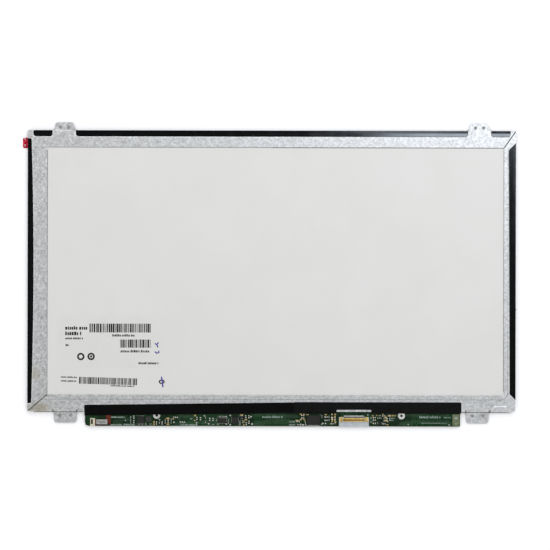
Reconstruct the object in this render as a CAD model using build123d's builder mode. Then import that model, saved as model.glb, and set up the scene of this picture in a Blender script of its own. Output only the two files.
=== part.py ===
# Slim laptop display module, lying on its face with the rear side up.
# X runs along the long side, Y towards the top edge, Z from the front face to the rear.
# The origin is on the front face, under the centre of the body. All sizes are in millimetres.
from build123d import *

import os

# Body
body_width = 359.5
body_height = 207.0
folded_corner = 2.4

# Layers, front to rear
film_thickness = 0.10
film_bond = 0.02
polarizer_thickness = 0.20
glass_thickness = 0.40
rim_tape_thickness = 0.10
air_gap = 0.30
prism_thickness = 0.18
diffuser_thickness = 0.14
guide_thickness = 0.70
reflector_thickness = 0.20
steel_thickness = 0.40

# Glass, polarizers and protective film
glass_clearance = 0.25
array_inset = 1.5
terminal_ledge = 3.5
polarizer_inset = 1.5
film_inset = 1.1
film_lower_inset = 0.5
rim_tape_inset = 0.2
pull_tab_reach = 4.2
pull_tab_width = 7.7
pull_tab_drop = 5.3
pull_tab_thickness = 0.10
pull_tab_corner = 1.2

# Mould frame
front_wall = 2.0
bottom_wall = 2.4
ledge_reach = 1.15
bottom_ledge = 3.4
strip_height = 0.28
strip_clearance = 0.20
strip_chamfer = 0.12
strip_valley = 1.9
strip_fall = 0.13
strip_lip = 0.05
nub_radius = 0.7
flange_clearance = 0.05

# Notches in the steel, where the mould frame shows
left_notch = 4.45
left_notch_end_depth = 2.9
left_notch_margin = 5.9
left_notch_corner = 1.2
right_notch = 5.3
right_notch_foot = 4.35
right_notch_margin = 8.8
top_notch = 4.6
top_notch_chamfer = 1.3
corner_tongue = 4.0
notch_cover = 0.45

# Steel frames
window_left = 14.35
window_right = 8.7
window_top = 12.3
window_bottom = 12.3
window_corner = 2.5
mitre_slit = 0.7
emboss_bottom = 3.3
emboss_right = 2.9
emboss_shoulder = 0.6
emboss_height = 0.12
edge_roll_width = 0.35
edge_roll_depth = 0.20
bead_length = 9.6
bead_width = 3.4
bead_slant = 1.6
bead_side_margin = 6.2
bead_edge_margin = 1.1
flange_depth = 1.4
flange_start = 4.0
flange_side = 8.3
bend_radius = 0.35
relief_width = 1.0
relief_depth = 1.2

# Brackets
bracket_drop = 2.0
bracket_root = 17.0
hole_edge = 23.75
hole_diameter = 2.3
top_hole_spacing = 6.0
top_hole_rise = 2.4
top_bracket_reach = 6.0
top_bracket_base = 15.2
top_bracket_tip = 12.8
top_bracket_corner = 1.1
bottom_hole_spacing = 8.0
bottom_hole_drop = 3.0
bottom_bracket_reach = 8.4
bottom_bracket_width = 16.5
bottom_bracket_corner = 2.0

# Light guide, sheets and backlight
guide_clearance = 0.25
sheet_inset = 0.30
led_width = 3.0
led_depth = 1.0
led_height = 0.65
led_gap = 0.10
led_pitch = 7.9
flex_thickness = 0.12
flex_width = 4.9
reflector_gap = 0.20
tail_offset = 17.3
tail_width = 3.6
tail_notch_clearance = 0.40
tail_foot_width = 3.9
tail_foot_edge = 1.0

# Circuit board
board_left_margin = 42.35
board_right_margin = 40.65
board_gap = 0.15
board_width = 10.65
board_thickness = 0.80
board_chamfer = 2.2
board_corner = 0.7
ground_ring_diameter = 5.2
ground_hole_diameter = 1.9
ground_ring_thickness = 0.06
ground_ring_drop = 2.8
left_ring_offset = 52.9
right_ring_offset = 95.05

# Driver chips and films on the glass ledge
driver_count = 4
driver_pitch = 68.0
driver_chip_length = 24.0
driver_chip_width = 1.2
driver_chip_height = 0.28
driver_chip_gap = 0.3
driver_film_width = 40.0
driver_film_thickness = 0.08
driver_film_bond = 1.5
driver_film_overlap = 3.0

# Tapes
tape_thickness = 0.08
tape_lift = 0.15
tape_slope = 1.05
tape_left_overhang = 0.4
tape_right_overhang = 0.8
tape_split = 15.95
tape_butt_gap = 0.1
left_tape_width = 7.9
left_tape_high = 6.9
left_tape_low = 4.8
right_tape_high = 7.15
right_tape_reach = 1.25
tape_notch_margin = 1.7
tape_notch_height = 1.5
tape_corner = 0.9
front_tape_inset = 0.4

# Rear label
label_width = 78.2
label_height = 37.5
label_side_margin = 7.85
label_bottom_margin = 19.9
label_corner = 0.8
label_thickness = 0.06

# Board connector
connector_offset = 60.0
connector_height = 1.10
connector_depth = 7.2
connector_overhang = 0.30
contact_count = 30
contact_pitch = 0.5
contact_width = 0.20
contact_thickness = 0.10
contact_tail = 1.0
contact_slot_clearance = 0.04
connector_end = 3.75
connector_floor = 0.25
connector_rear_wall = 0.8
connector_end_block = 1.6
connector_wall_inset = 2.75
connector_block_height = 0.62
connector_rail_width = 0.7
connector_rail_height = 0.5
tongue_reach = 2.2
tongue_bottom = 0.30
tongue_thickness = 0.16
shell_thickness = 0.15
shell_depth = 3.3
shell_flat = 1.1
shell_fall = 0.22
shell_lip = 0.3
shell_collar_diameter = 2.2
shell_hole_diameter = 1.4
shell_collar_inset = 1.6

# Backlight socket and sticker
socket_length = 3.6
socket_width = 5.6
socket_height = 0.9
socket_mouth_depth = 1.5
socket_mouth_height = 0.3
socket_recess_length = 1.5
socket_recess_width = 3.2
socket_recess_depth = 0.45
socket_clearance = 0.2
sticker_length = 8.1
sticker_width = 3.2
sticker_thickness = 0.08
sticker_gap = 0.6

# Chips: distance along the board, distance from its outer edge, length, width, height.
# The first group counts from the board's left end, the second from its middle.
left_chips = {
    "backlight_driver_chip": (41.2, 4.8, 5.2, 5.2, 0.85),
    "bias_voltage_chip": (101.3, 4.0, 6.1, 3.8, 0.90),
    "level_shifter_chip": (110.6, 4.4, 4.8, 5.0, 0.85),
    "regulator_chip": (115.6, 6.6, 2.9, 1.6, 0.80),
}
middle_chips = {
    "timing_controller": (30.3, 4.5, 9.5, 7.0, 0.85),
    "memory_chip": (79.2, 2.5, 3.0, 2.4, 0.75),
}
chip_chamfer = 0.10
chip_dot_diameter = 0.5
chip_dot_depth = 0.05
chip_dot_inset = 0.7
inductor_place = (46.9, 5.0)
inductor_length = 4.2
inductor_width = 3.8
inductor_height = 1.0
inductor_corner = 0.9
inductor_core_diameter = 2.6
inductor_core_depth = 0.15

# Nubs on the mould frame's right edge: distance up from the middle, how far they stand out
edge_nubs = [(-28.1, 0.45), (-34.2, 0.20)]

# Small parts: distance along the board, distance from its outer edge, turn in degrees
small_part_length = 1.6
small_part_width = 0.8
tiny_part_length = 1.0
tiny_part_width = 0.5
capacitor_height = 0.7
tiny_capacitor_height = 0.5
resistor_height = 0.4
tiny_resistor_height = 0.3
left_capacitors = [
    (52.8, 2.2, 90), (56.9, 2.2, 90), (61.4, 3.4, 90), (67.3, 6.4, 0), (82.6, 5.7, 90),
    (85.2, 5.5, 90), (118.9, 1.9, 90), (118.6, 6.9, 90), (120.9, 6.9, 90), (120.9, 2.9, 90),
]
middle_capacitors = [
    (22.3, 8.0, 0), (22.3, 6.1, 0), (39.5, 6.9, 0), (39.5, 4.5, 0), (43.6, 5.9, 90),
    (46.0, 5.9, 90), (75.0, 6.5, 0), (75.0, 4.7, 0), (81.9, 7.9, 0), (84.4, 5.2, 90),
]
left_tiny_capacitors = [
    (33.8, 6.4, 90), (40.0, 1.2, 0), (45.0, 1.6, 90), (54.9, 2.3, 90), (59.2, 2.6, 90), (63.6, 4.8, 90),
    (65.2, 6.4, 90), (89.0, 6.2, 90), (99.4, 7.2, 0), (103.6, 7.2, 0), (105.9, 2.6, 90), (116.6, 3.9, 0),
]
middle_tiny_capacitors = [
    (24.2, 3.4, 90), (36.4, 1.8, 90), (41.6, 6.9, 90), (46.2, 2.4, 90), (72.6, 6.2, 90), (78.0, 6.2, 0),
    (79.0, 8.0, 0), (82.2, 4.2, 90), (86.3, 7.9, 90),
]
left_resistors = [(36.0, 6.6, 90), (36.0, 3.2, 90), (71.0, 3.0, 0), (92.0, 5.0, 90), (94.4, 5.0, 90)]
middle_resistors = [(18.9, 3.6, 0), (21.1, 1.3, 0), (43.9, 2.0, 0), (75.0, 2.3, 0), (82.2, 2.0, 0)]
left_tiny_resistors = [
    (33.8, 4.6, 90), (33.8, 2.6, 90), (42.4, 1.2, 0), (48.4, 1.5, 0), (59.2, 4.6, 90), (63.6, 2.6, 90),
    (73.2, 3.0, 90), (89.0, 3.2, 90), (97.0, 4.4, 90), (101.6, 7.2, 0), (105.9, 4.6, 90), (114.3, 3.4, 90),
    (114.3, 1.6, 90), (116.6, 2.6, 0),
]
middle_tiny_resistors = [
    (24.2, 1.6, 90), (36.4, 7.2, 90), (41.6, 4.6, 90), (72.6, 3.4, 90), (79.6, 6.2, 0), (82.6, 6.2, 0),
    (86.3, 5.2, 90),
]

# Levels
polarizer_z = film_thickness + film_bond
color_glass_z = polarizer_z + polarizer_thickness
array_glass_z = color_glass_z + glass_thickness
array_rear_z = array_glass_z + glass_thickness
ledge_z = array_rear_z + rim_tape_thickness
sheets_z = array_rear_z + polarizer_thickness + air_gap
lower_prism_z = sheets_z + prism_thickness
diffuser_z = lower_prism_z + prism_thickness
guide_z = diffuser_z + diffuser_thickness
reflector_z = guide_z + guide_thickness
plate_z = reflector_z + reflector_thickness
plate_rear_z = plate_z + steel_thickness
strip_rear_z = plate_z + strip_height
bracket_z = plate_rear_z - bracket_drop - steel_thickness
board_rear_z = plate_rear_z - connector_height
board_z = board_rear_z - board_thickness

# Edges of the body, the window, the cavity and the board
right = body_width / 2
left = -right
top = body_height / 2
bottom = -top
wall_width = max(left_notch, right_notch, top_notch) + notch_cover
mould_bottom = bottom + steel_thickness + flange_clearance
cavity_x = right - wall_width
cavity_top = top - wall_width
cavity_bottom = mould_bottom + bottom_wall
opening_x = cavity_x - ledge_reach
opening_top = cavity_top - ledge_reach
opening_bottom = cavity_bottom + bottom_ledge
pocket_x = right - front_wall
pocket_top = top - front_wall
glass_x = pocket_x - glass_clearance
glass_top = pocket_top - glass_clearance
array_bottom = bottom + array_inset
color_bottom = array_bottom + terminal_ledge
polarizer_bottom = color_bottom + polarizer_inset
guide_x = cavity_x - guide_clearance
guide_top = cavity_top - guide_clearance
led_rear = cavity_bottom + guide_clearance
guide_bottom = led_rear + led_depth + led_gap
flex_bottom = cavity_bottom + guide_clearance
reflector_bottom = flex_bottom + flex_width + reflector_gap
board_left = left + board_left_margin
board_right = right - board_right_margin
board_middle = (board_left + board_right) / 2
board_top = bottom - board_gap
board_bottom = board_top - board_width
hole_x = right - hole_edge
tail_x = board_left + tail_offset
tail_foot_bottom = board_bottom + tail_foot_edge
connector_width = (contact_count - 1) * contact_pitch + 2 * connector_end
connector_x = board_middle + connector_offset
connector_front = board_bottom - connector_overhang
connector_rear = connector_front + connector_depth

# Extra length of cutting shapes, and how near an edge lies to a level to count as on it
overcut = 2.0
match = 0.01

os.makedirs("parts", exist_ok=True)


def finish(piece, name):
    piece.part.label = name
    export_step(piece.part, f"parts/{name}.step")


def edge_rectangle(x_low, x_high, y_low, y_high):
    with BuildSketch() as area:
        with Locations(((x_low + x_high) / 2, (y_low + y_high) / 2)):
            Rectangle(x_high - x_low, y_high - y_low)
    return area.sketch


def flat_sheet(name, x_half, y_low, y_high, z_low, thickness):
    with BuildPart() as sheet:
        with BuildSketch(Plane.XY.offset(z_low)):
            add(edge_rectangle(-x_half, x_half, y_low, y_high))
        extrude(amount=thickness)
    finish(sheet, name)


# Section of a thin strip that runs level, slopes to another level and runs on, as (Y, Z) points
def sloping_strip(y_start, y_break, y_foot, y_end, z_start, z_end, thickness):
    with BuildSketch() as strip:
        with BuildLine():
            Polyline(
                (y_start, z_start), (y_break, z_start), (y_foot, z_end), (y_end, z_end),
                (y_end, z_end + thickness), (y_foot, z_end + thickness),
                (y_break, z_start + thickness), (y_start, z_start + thickness),
                close=True,
            )
        make_face()
    return strip.sketch


# Outline of the body, with the rounded corner where the steel is folded round it
def body_outline(inset):
    with BuildSketch() as outline:
        Rectangle(body_width - 2 * inset, body_height - 2 * inset)
        lower_right = outline.vertices().group_by(Axis.X)[-1].sort_by(Axis.Y)[0]
        fillet(lower_right, folded_corner - inset)
    return outline.sketch


# Window in the steel, round at the two corners that aren't mitred
def window_plan():
    with BuildSketch() as window:
        add(edge_rectangle(
            left + window_left, right - window_right, bottom + window_bottom, top - window_top,
        ))
        upper_left = window.vertices().group_by(Axis.X)[0].sort_by(Axis.Y)[-1]
        lower_right = window.vertices().group_by(Axis.X)[-1].sort_by(Axis.Y)[0]
        fillet([upper_left, lower_right], window_corner)
    return window.sketch


def top_notch_plan(x_low, x_high):
    with BuildSketch() as notch:
        add(edge_rectangle(x_low, x_high, top - top_notch, top + overcut))
        chamfer(notch.vertices().group_by(Axis.Y)[0], top_notch_chamfer)
    return notch.sketch


def left_notch_plan():
    end_y = top - left_notch_margin
    end_x = left + left_notch_end_depth
    with BuildSketch() as notch:
        with BuildLine():
            ThreePointArc((end_x, end_y), (left + left_notch, 0), (end_x, -end_y))
            Polyline((end_x, -end_y), (left - overcut, -end_y), (left - overcut, end_y), (end_x, end_y))
        make_face()
        fillet(notch.vertices().group_by(Axis.X)[-1], left_notch_corner)
    return notch.sketch


# The right notch gets a little shallower towards its foot
def right_notch_plan():
    end_y = top - right_notch_margin
    with BuildSketch() as notch:
        with BuildLine():
            Polyline(
                (right - right_notch, end_y - right_notch), (right + overcut, end_y + overcut),
                (right + overcut, -end_y - overcut), (right - right_notch_foot, right_notch_foot - end_y),
                close=True,
            )
        make_face()
    return notch.sketch


top_bracket_x = hole_x - top_hole_spacing / 2
bottom_bracket_x = hole_x - bottom_hole_spacing / 2


# All the notches, drawn back from their edges by a gap
def notch_plan(gap):
    tongue_x = right - corner_tongue
    root_outer = top_bracket_x + bracket_root / 2
    root_inner = top_bracket_x - bracket_root / 2
    with BuildSketch() as notches:
        add(left_notch_plan())
        add(right_notch_plan())
        add(top_notch_plan(-tongue_x, -root_outer))
        add(top_notch_plan(-root_inner, root_inner))
        add(top_notch_plan(root_outer, tongue_x))
        if gap > 0:
            offset(amount=-gap)
    return notches.sketch


# Mitre lines from the window's corners out past the body's corners
window_upper_right = Vector(right - window_right, top - window_top)
window_lower_left = Vector(left + window_left, bottom + window_bottom)
upper_mitre_end = Vector(right, top) + (Vector(right, top) - window_upper_right)
lower_mitre_end = Vector(left, bottom) + (Vector(left, bottom) - window_lower_left)
upper_left_corner = Vector(lower_mitre_end.X, upper_mitre_end.Y)
lower_right_corner = Vector(upper_mitre_end.X, lower_mitre_end.Y)


# One L-shaped half of the steel, up to half the slit from the mitre lines
def frame_plan(far_corner):
    with BuildSketch() as plan:
        with BuildLine():
            Polyline(
                upper_mitre_end, window_upper_right, window_lower_left, lower_mitre_end,
                far_corner, close=True,
            )
        make_face()
        add(body_outline(0), mode=Mode.INTERSECT)
        add(window_plan(), mode=Mode.SUBTRACT)
        add(notch_plan(0), mode=Mode.SUBTRACT)
        with BuildLine():
            Line(window_upper_right, upper_mitre_end)
        trace(line_width=mitre_slit, mode=Mode.SUBTRACT)
        with BuildLine():
            Line(window_lower_left, lower_mitre_end)
        trace(line_width=mitre_slit, mode=Mode.SUBTRACT)
    return plan.sketch


# Narrow band of the body's outline that the steel's folded edge takes up
def flange_plan(depth):
    with BuildSketch() as band:
        add(body_outline(0))
        add(body_outline(depth), mode=Mode.SUBTRACT)
        add(edge_rectangle(left + flange_start, right, bottom, bottom + flange_side), mode=Mode.INTERSECT)
    return band.sketch


def top_bracket_plan():
    with BuildSketch() as plan:
        with BuildLine():
            Polyline(
                (-top_bracket_base / 2, top - steel_thickness), (top_bracket_base / 2, top - steel_thickness),
                (top_bracket_base / 2, top), (top_bracket_tip / 2, top + top_bracket_reach),
                (-top_bracket_tip / 2, top + top_bracket_reach), (-top_bracket_base / 2, top), close=True,
            )
        make_face()
        fillet(plan.vertices().group_by(Axis.Y)[-1], top_bracket_corner)
        with Locations((0, top + top_hole_rise)):
            with GridLocations(top_hole_spacing, 0, 2, 1):
                Circle(hole_diameter / 2, mode=Mode.SUBTRACT)
    return plan.sketch


def bottom_bracket_plan():
    with BuildSketch() as plan:
        add(edge_rectangle(
            -bottom_bracket_width / 2, bottom_bracket_width / 2,
            bottom - bottom_bracket_reach, bottom + steel_thickness,
        ))
        fillet(plan.vertices().group_by(Axis.Y)[0], bottom_bracket_corner)
        with Locations((0, bottom - bottom_hole_drop)):
            with GridLocations(bottom_hole_spacing, 0, 2, 1):
                Circle(hole_diameter / 2, mode=Mode.SUBTRACT)
    return plan.sketch


# Raised band of the lower right frame round the window, drawn back from its foot by an inset
def band_plan(inset):
    with BuildSketch() as band:
        add(edge_rectangle(
            left + window_left - emboss_bottom, right - window_right + emboss_right - inset,
            bottom + window_bottom - emboss_bottom + inset, top - window_top + emboss_right,
        ))
        lower_right = band.vertices().group_by(Axis.X)[-1].sort_by(Axis.Y)[0]
        fillet(lower_right, window_corner + emboss_right - inset)
    return band.sketch


# Bead that stiffens the folded corner, slanted at its inner end
def bead_plan(inset):
    bead_right = right - bead_side_margin
    bead_bottom = bottom + bead_edge_margin
    with BuildSketch() as bead:
        with BuildLine():
            Polyline(
                (bead_right - bead_length - bead_slant, bead_bottom), (bead_right, bead_bottom),
                (bead_right, bead_bottom + bead_width), (bead_right - bead_length, bead_bottom + bead_width),
                close=True,
            )
        make_face()
        if inset > 0:
            offset(amount=-inset, kind=Kind.INTERSECTION)
    return bead.sketch


# Form pressed out of the steel's rear face, with sloping shoulders
def pressed_form(plan):
    with BuildPart() as form:
        with BuildSketch(Plane.XY.offset(plate_rear_z)):
            add(plan(0))
        with BuildSketch(Plane.XY.offset(plate_rear_z + emboss_height)):
            add(plan(emboss_shoulder))
        loft(ruled=True)
        with BuildSketch(Plane.XY.offset(plate_rear_z)):
            add(frame_plan(lower_right_corner))
        extrude(amount=emboss_height, mode=Mode.INTERSECT)
    return form.part


# Rear edges of a steel frame that run along the notches
def notch_edges(frame):
    notches = Pos(0, 0, plate_rear_z) * notch_plan(0)
    rear_edges = frame.edges().filter_by_position(Axis.Z, plate_rear_z - match, plate_rear_z + match)
    return rear_edges.filter_by(lambda edge: notches.distance_to(edge @ 0.5) < match)


def rear_face(frame):
    return frame.faces().filter_by(Axis.Z).filter_by_position(
        Axis.Z, plate_rear_z - match, plate_rear_z + match,
    ).sort_by(SortBy.AREA)[-1]


# Upper left steel frame: top and left strips, with two brackets that step down towards the front
with BuildPart() as upper_left_frame:
    with BuildSketch(Plane.XY.offset(plate_z)):
        add(frame_plan(upper_left_corner))
    extrude(amount=steel_thickness)
    with BuildSketch(Plane.XY.offset(bracket_z)):
        with Locations((-top_bracket_x, 0), (top_bracket_x, 0)):
            add(top_bracket_plan())
    extrude(amount=steel_thickness)
    with BuildSketch(Plane.XY.offset(bracket_z)):
        fold_y = top - steel_thickness / 2
        with Locations((-top_bracket_x, fold_y), (top_bracket_x, fold_y)):
            Rectangle(top_bracket_base, steel_thickness)
    extrude(amount=plate_rear_z - bracket_z)
    for side in (-1, 1):
        fold_place = (side * top_bracket_x, top, plate_rear_z)
        fillet(upper_left_frame.edges().filter_by(Axis.X).sort_by_distance(fold_place)[0], bend_radius)
    rolled = notch_edges(upper_left_frame)
    chamfer(rolled, edge_roll_width, edge_roll_depth, reference=rear_face(upper_left_frame))
finish(upper_left_frame, "upper_left_frame")

# Lower right steel frame: bottom and right strips, folded edge, raised band round the window
with BuildPart() as lower_right_frame:
    with BuildSketch(Plane.XY.offset(plate_z)):
        add(frame_plan(lower_right_corner))
    extrude(amount=steel_thickness)
    with BuildSketch(Plane.XY.offset(plate_rear_z - flange_depth)):
        add(flange_plan(steel_thickness))
        with Locations((tail_x, bottom)):
            Rectangle(tail_width + 2 * tail_notch_clearance, 2 * steel_thickness, mode=Mode.SUBTRACT)
    extrude(amount=flange_depth - steel_thickness)
    with BuildSketch(Plane.XY.offset(bracket_z)):
        with Locations((-bottom_bracket_x, 0), (bottom_bracket_x, 0)):
            add(bottom_bracket_plan())
    extrude(amount=steel_thickness)
    with BuildSketch(Plane.XY.offset(bracket_z)):
        fold_y = bottom + steel_thickness / 2
        with Locations((-bottom_bracket_x, fold_y), (bottom_bracket_x, fold_y)):
            Rectangle(bottom_bracket_width, steel_thickness)
    extrude(amount=plate_rear_z - bracket_z)
    with BuildSketch(Plane.XY.offset(bracket_z)):
        for side in (-1, 1):
            with Locations((side * bottom_bracket_x, bottom + relief_depth / 2)):
                with GridLocations(bottom_bracket_width + relief_width, 0, 2, 1):
                    Rectangle(relief_width, relief_depth)
    extrude(amount=plate_rear_z - bracket_z, mode=Mode.SUBTRACT)
    level_edges = lower_right_frame.edges().filter_by(Axis.X).filter_by_position(
        Axis.Z, plate_rear_z - match, plate_rear_z + match,
    )
    fillet(level_edges.filter_by_position(Axis.Y, bottom - match, bottom + match), bend_radius)
    rolled = notch_edges(lower_right_frame)
    chamfer(rolled, edge_roll_width, edge_roll_depth, reference=rear_face(lower_right_frame))
    add(pressed_form(band_plan))
    add(pressed_form(bead_plan))
    for plan in (band_plan, bead_plan):
        with BuildSketch(Plane.XY.offset(plate_z)):
            add(frame_plan(lower_right_corner))
            add(plan(emboss_shoulder), mode=Mode.INTERSECT)
        extrude(amount=emboss_height, mode=Mode.SUBTRACT)
finish(lower_right_frame, "lower_right_frame")

# Outline of the mould frame, inside the steel's folded edge along the bottom
def mould_outline():
    with BuildSketch() as outline:
        add(body_outline(0))
        add(edge_rectangle(left, right, mould_bottom, top), mode=Mode.INTERSECT)
        add(flange_plan(steel_thickness + flange_clearance), mode=Mode.SUBTRACT)
    return outline.sketch


# Section of the cut that lets a strip fall from the steel to a valley and rise to a low lip at the edge
def valley_section(edge, outward, depth):
    valley_z = strip_rear_z - strip_fall
    lip_z = valley_z + strip_lip
    with BuildSketch() as section:
        with BuildLine():
            Polyline(
                (edge - outward * depth, strip_rear_z), (edge - outward * strip_valley, valley_z),
                (edge, lip_z), (edge + outward * overcut, lip_z), (edge + outward * overcut, strip_rear_z),
                close=True,
            )
        make_face()
    return section.sketch


# Mould frame: rear wall, ledge under the glass, front wall on three sides, creased strips in the notches
with BuildPart() as mould_frame:
    with BuildSketch(Plane.XY.offset(sheets_z)):
        add(mould_outline())
        add(edge_rectangle(-cavity_x, cavity_x, cavity_bottom, cavity_top), mode=Mode.SUBTRACT)
    extrude(amount=plate_z - sheets_z)
    with BuildSketch(Plane.XY.offset(ledge_z)):
        add(mould_outline())
        add(edge_rectangle(-opening_x, opening_x, opening_bottom, opening_top), mode=Mode.SUBTRACT)
    extrude(amount=sheets_z - ledge_z)
    with BuildSketch(Plane.XY.offset(color_glass_z)):
        add(mould_outline())
        add(edge_rectangle(-pocket_x, pocket_x, bottom, pocket_top), mode=Mode.SUBTRACT)
    extrude(amount=ledge_z - color_glass_z)
    with BuildSketch(Plane.XY.offset(plate_z)):
        add(notch_plan(strip_clearance))
        add(body_outline(0), mode=Mode.INTERSECT)
    extrude(amount=strip_height)
    chamfer(mould_frame.faces().sort_by(Axis.Z).filter_by(Axis.Z)[-5:].edges(), strip_chamfer)
    with BuildSketch(Plane.YZ.offset(left)):
        add(valley_section(top, 1, top_notch))
    extrude(amount=body_width, mode=Mode.SUBTRACT)
    with BuildSketch(Plane.XZ.offset(-top)):
        add(valley_section(right, 1, right_notch))
        add(valley_section(left, -1, left_notch))
    extrude(amount=body_height, mode=Mode.SUBTRACT)
    with BuildSketch(Plane.XY.offset(ledge_z)):
        for nub_y, nub_reach in edge_nubs:
            with Locations((right + nub_reach - nub_radius, nub_y)):
                Circle(nub_radius)
    extrude(amount=plate_z - ledge_z)
    with BuildSketch(Plane.XY.offset(bracket_z - flange_clearance)):
        fold_y = top - (steel_thickness + flange_clearance) / 2
        with Locations((-top_bracket_x, fold_y), (top_bracket_x, fold_y)):
            Rectangle(top_bracket_base + 2 * strip_clearance, steel_thickness + flange_clearance)
    extrude(amount=plate_z - bracket_z + flange_clearance, mode=Mode.SUBTRACT)
    with BuildSketch(Plane.XY.offset(reflector_z - flange_clearance)):
        with Locations((tail_x, mould_bottom + bottom_wall / 2)):
            Rectangle(tail_width + 2 * tail_notch_clearance, bottom_wall)
    extrude(amount=reflector_thickness + flange_clearance, mode=Mode.SUBTRACT)
finish(mould_frame, "mould_frame")

# Protective film, its pull tab, and the glass with its polarizers
flat_sheet(
    "protective_film", right - film_inset, color_bottom + film_lower_inset, top - film_inset,
    0, film_thickness,
)
with BuildPart() as film_pull_tab:
    with BuildSketch(Plane.XY.offset(film_thickness)) as tab_plan:
        add(edge_rectangle(
            left - pull_tab_reach, -(glass_x - polarizer_inset) - glass_clearance,
            top - pull_tab_drop - pull_tab_width, top - pull_tab_drop,
        ))
        fillet(tab_plan.vertices().group_by(Axis.X)[0], pull_tab_corner)
    extrude(amount=pull_tab_thickness)
finish(film_pull_tab, "film_pull_tab")
flat_sheet(
    "front_polarizer", glass_x - polarizer_inset, polarizer_bottom, glass_top - polarizer_inset,
    polarizer_z, polarizer_thickness,
)
flat_sheet("color_filter_glass", glass_x, color_bottom, glass_top, color_glass_z, glass_thickness)
flat_sheet("array_glass", glass_x, array_bottom, glass_top, array_glass_z, glass_thickness)
flat_sheet(
    "rear_polarizer", opening_x - glass_clearance, opening_bottom + glass_clearance,
    opening_top - glass_clearance, array_rear_z, polarizer_thickness,
)
with BuildPart() as glass_rim_tape:
    with BuildSketch(Plane.XY.offset(array_rear_z)):
        add(edge_rectangle(
            rim_tape_inset - glass_x, glass_x - rim_tape_inset,
            array_bottom + rim_tape_inset, glass_top - rim_tape_inset,
        ))
        add(edge_rectangle(
            -opening_x - rim_tape_inset, opening_x + rim_tape_inset,
            opening_bottom - rim_tape_inset, opening_top + rim_tape_inset,
        ), mode=Mode.SUBTRACT)
    extrude(amount=rim_tape_thickness)
finish(glass_rim_tape, "glass_rim_tape")

# Sheets of the backlight
sheet_x = guide_x - sheet_inset
sheet_bottom = guide_bottom + sheet_inset
sheet_top = guide_top - sheet_inset
flat_sheet("upper_prism_sheet", sheet_x, sheet_bottom, sheet_top, sheets_z, prism_thickness)
flat_sheet("lower_prism_sheet", sheet_x, sheet_bottom, sheet_top, lower_prism_z, prism_thickness)
flat_sheet("diffuser_sheet", sheet_x, sheet_bottom, sheet_top, diffuser_z, diffuser_thickness)
flat_sheet("light_guide", guide_x, guide_bottom, guide_top, guide_z, guide_thickness)
flat_sheet("reflector_sheet", guide_x, reflector_bottom, guide_top, reflector_z, reflector_thickness)

# Label on the rear of the reflector
with BuildPart() as rear_label:
    label_x = left + window_left + label_side_margin + label_width / 2
    label_y = bottom + window_bottom + label_bottom_margin + label_height / 2
    with BuildSketch(Plane.XY.offset(plate_z)):
        with Locations((label_x, label_y)):
            RectangleRounded(label_width, label_height, label_corner)
    extrude(amount=label_thickness)
finish(rear_label, "rear_label")

# Row of LEDs along the lower edge of the light guide
with BuildPart() as backlight_leds:
    led_count = int(2 * guide_x // led_pitch)
    with Locations((0, led_rear + led_depth / 2, reflector_z)):
        with GridLocations(led_pitch, 0, led_count, 1):
            Box(led_width, led_depth, led_height, align=(Align.CENTER, Align.CENTER, Align.MAX))
finish(backlight_leds, "backlight_leds")

# Backlight flex: strip behind the LEDs, and a tail that leaves through the folded edge to the board
foot_left = board_left + tail_offset - tail_width / 2 - sticker_length - 2 * sticker_gap
with BuildPart() as backlight_flex:
    with BuildSketch(Plane.XY.offset(reflector_z)):
        add(edge_rectangle(-guide_x, guide_x, flex_bottom, flex_bottom + flex_width))
    extrude(amount=flex_thickness)
    with BuildSketch(Plane.YZ.offset(tail_x - tail_width / 2)):
        add(sloping_strip(
            flex_bottom + overcut, bottom - board_gap, bottom - tape_slope, tail_foot_bottom,
            reflector_z, board_rear_z, flex_thickness,
        ))
    extrude(amount=tail_width)
    with BuildSketch(Plane.XY.offset(board_rear_z)):
        add(edge_rectangle(foot_left, tail_x, tail_foot_bottom, tail_foot_bottom + tail_foot_width))
    extrude(amount=flex_thickness)
finish(backlight_flex, "backlight_flex")

# Circuit board with two plated holes
ring_places = [
    (board_left + left_ring_offset, board_top - ground_ring_drop),
    (board_middle + right_ring_offset, board_top - ground_ring_drop),
]
with BuildPart() as circuit_board:
    with BuildSketch(Plane.XY.offset(board_z)) as board_plan:
        add(edge_rectangle(board_left, board_right, board_bottom, board_top))
        lower_corners = board_plan.vertices().group_by(Axis.Y)[0].sort_by(Axis.X)
        chamfer(lower_corners[0], board_chamfer)
        lower_right = board_plan.vertices().group_by(Axis.Y)[0].sort_by(Axis.X)[-1]
        fillet(lower_right, board_corner)
        with Locations(*ring_places):
            Circle(ground_hole_diameter / 2, mode=Mode.SUBTRACT)
    extrude(amount=board_thickness)
finish(circuit_board, "circuit_board")

with BuildPart() as ground_rings:
    with BuildSketch(Plane.XY.offset(board_rear_z)):
        with Locations(*ring_places):
            Circle(ground_ring_diameter / 2)
            Circle(ground_hole_diameter / 2, mode=Mode.SUBTRACT)
    extrude(amount=ground_ring_thickness)
finish(ground_rings, "ground_rings")

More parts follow.
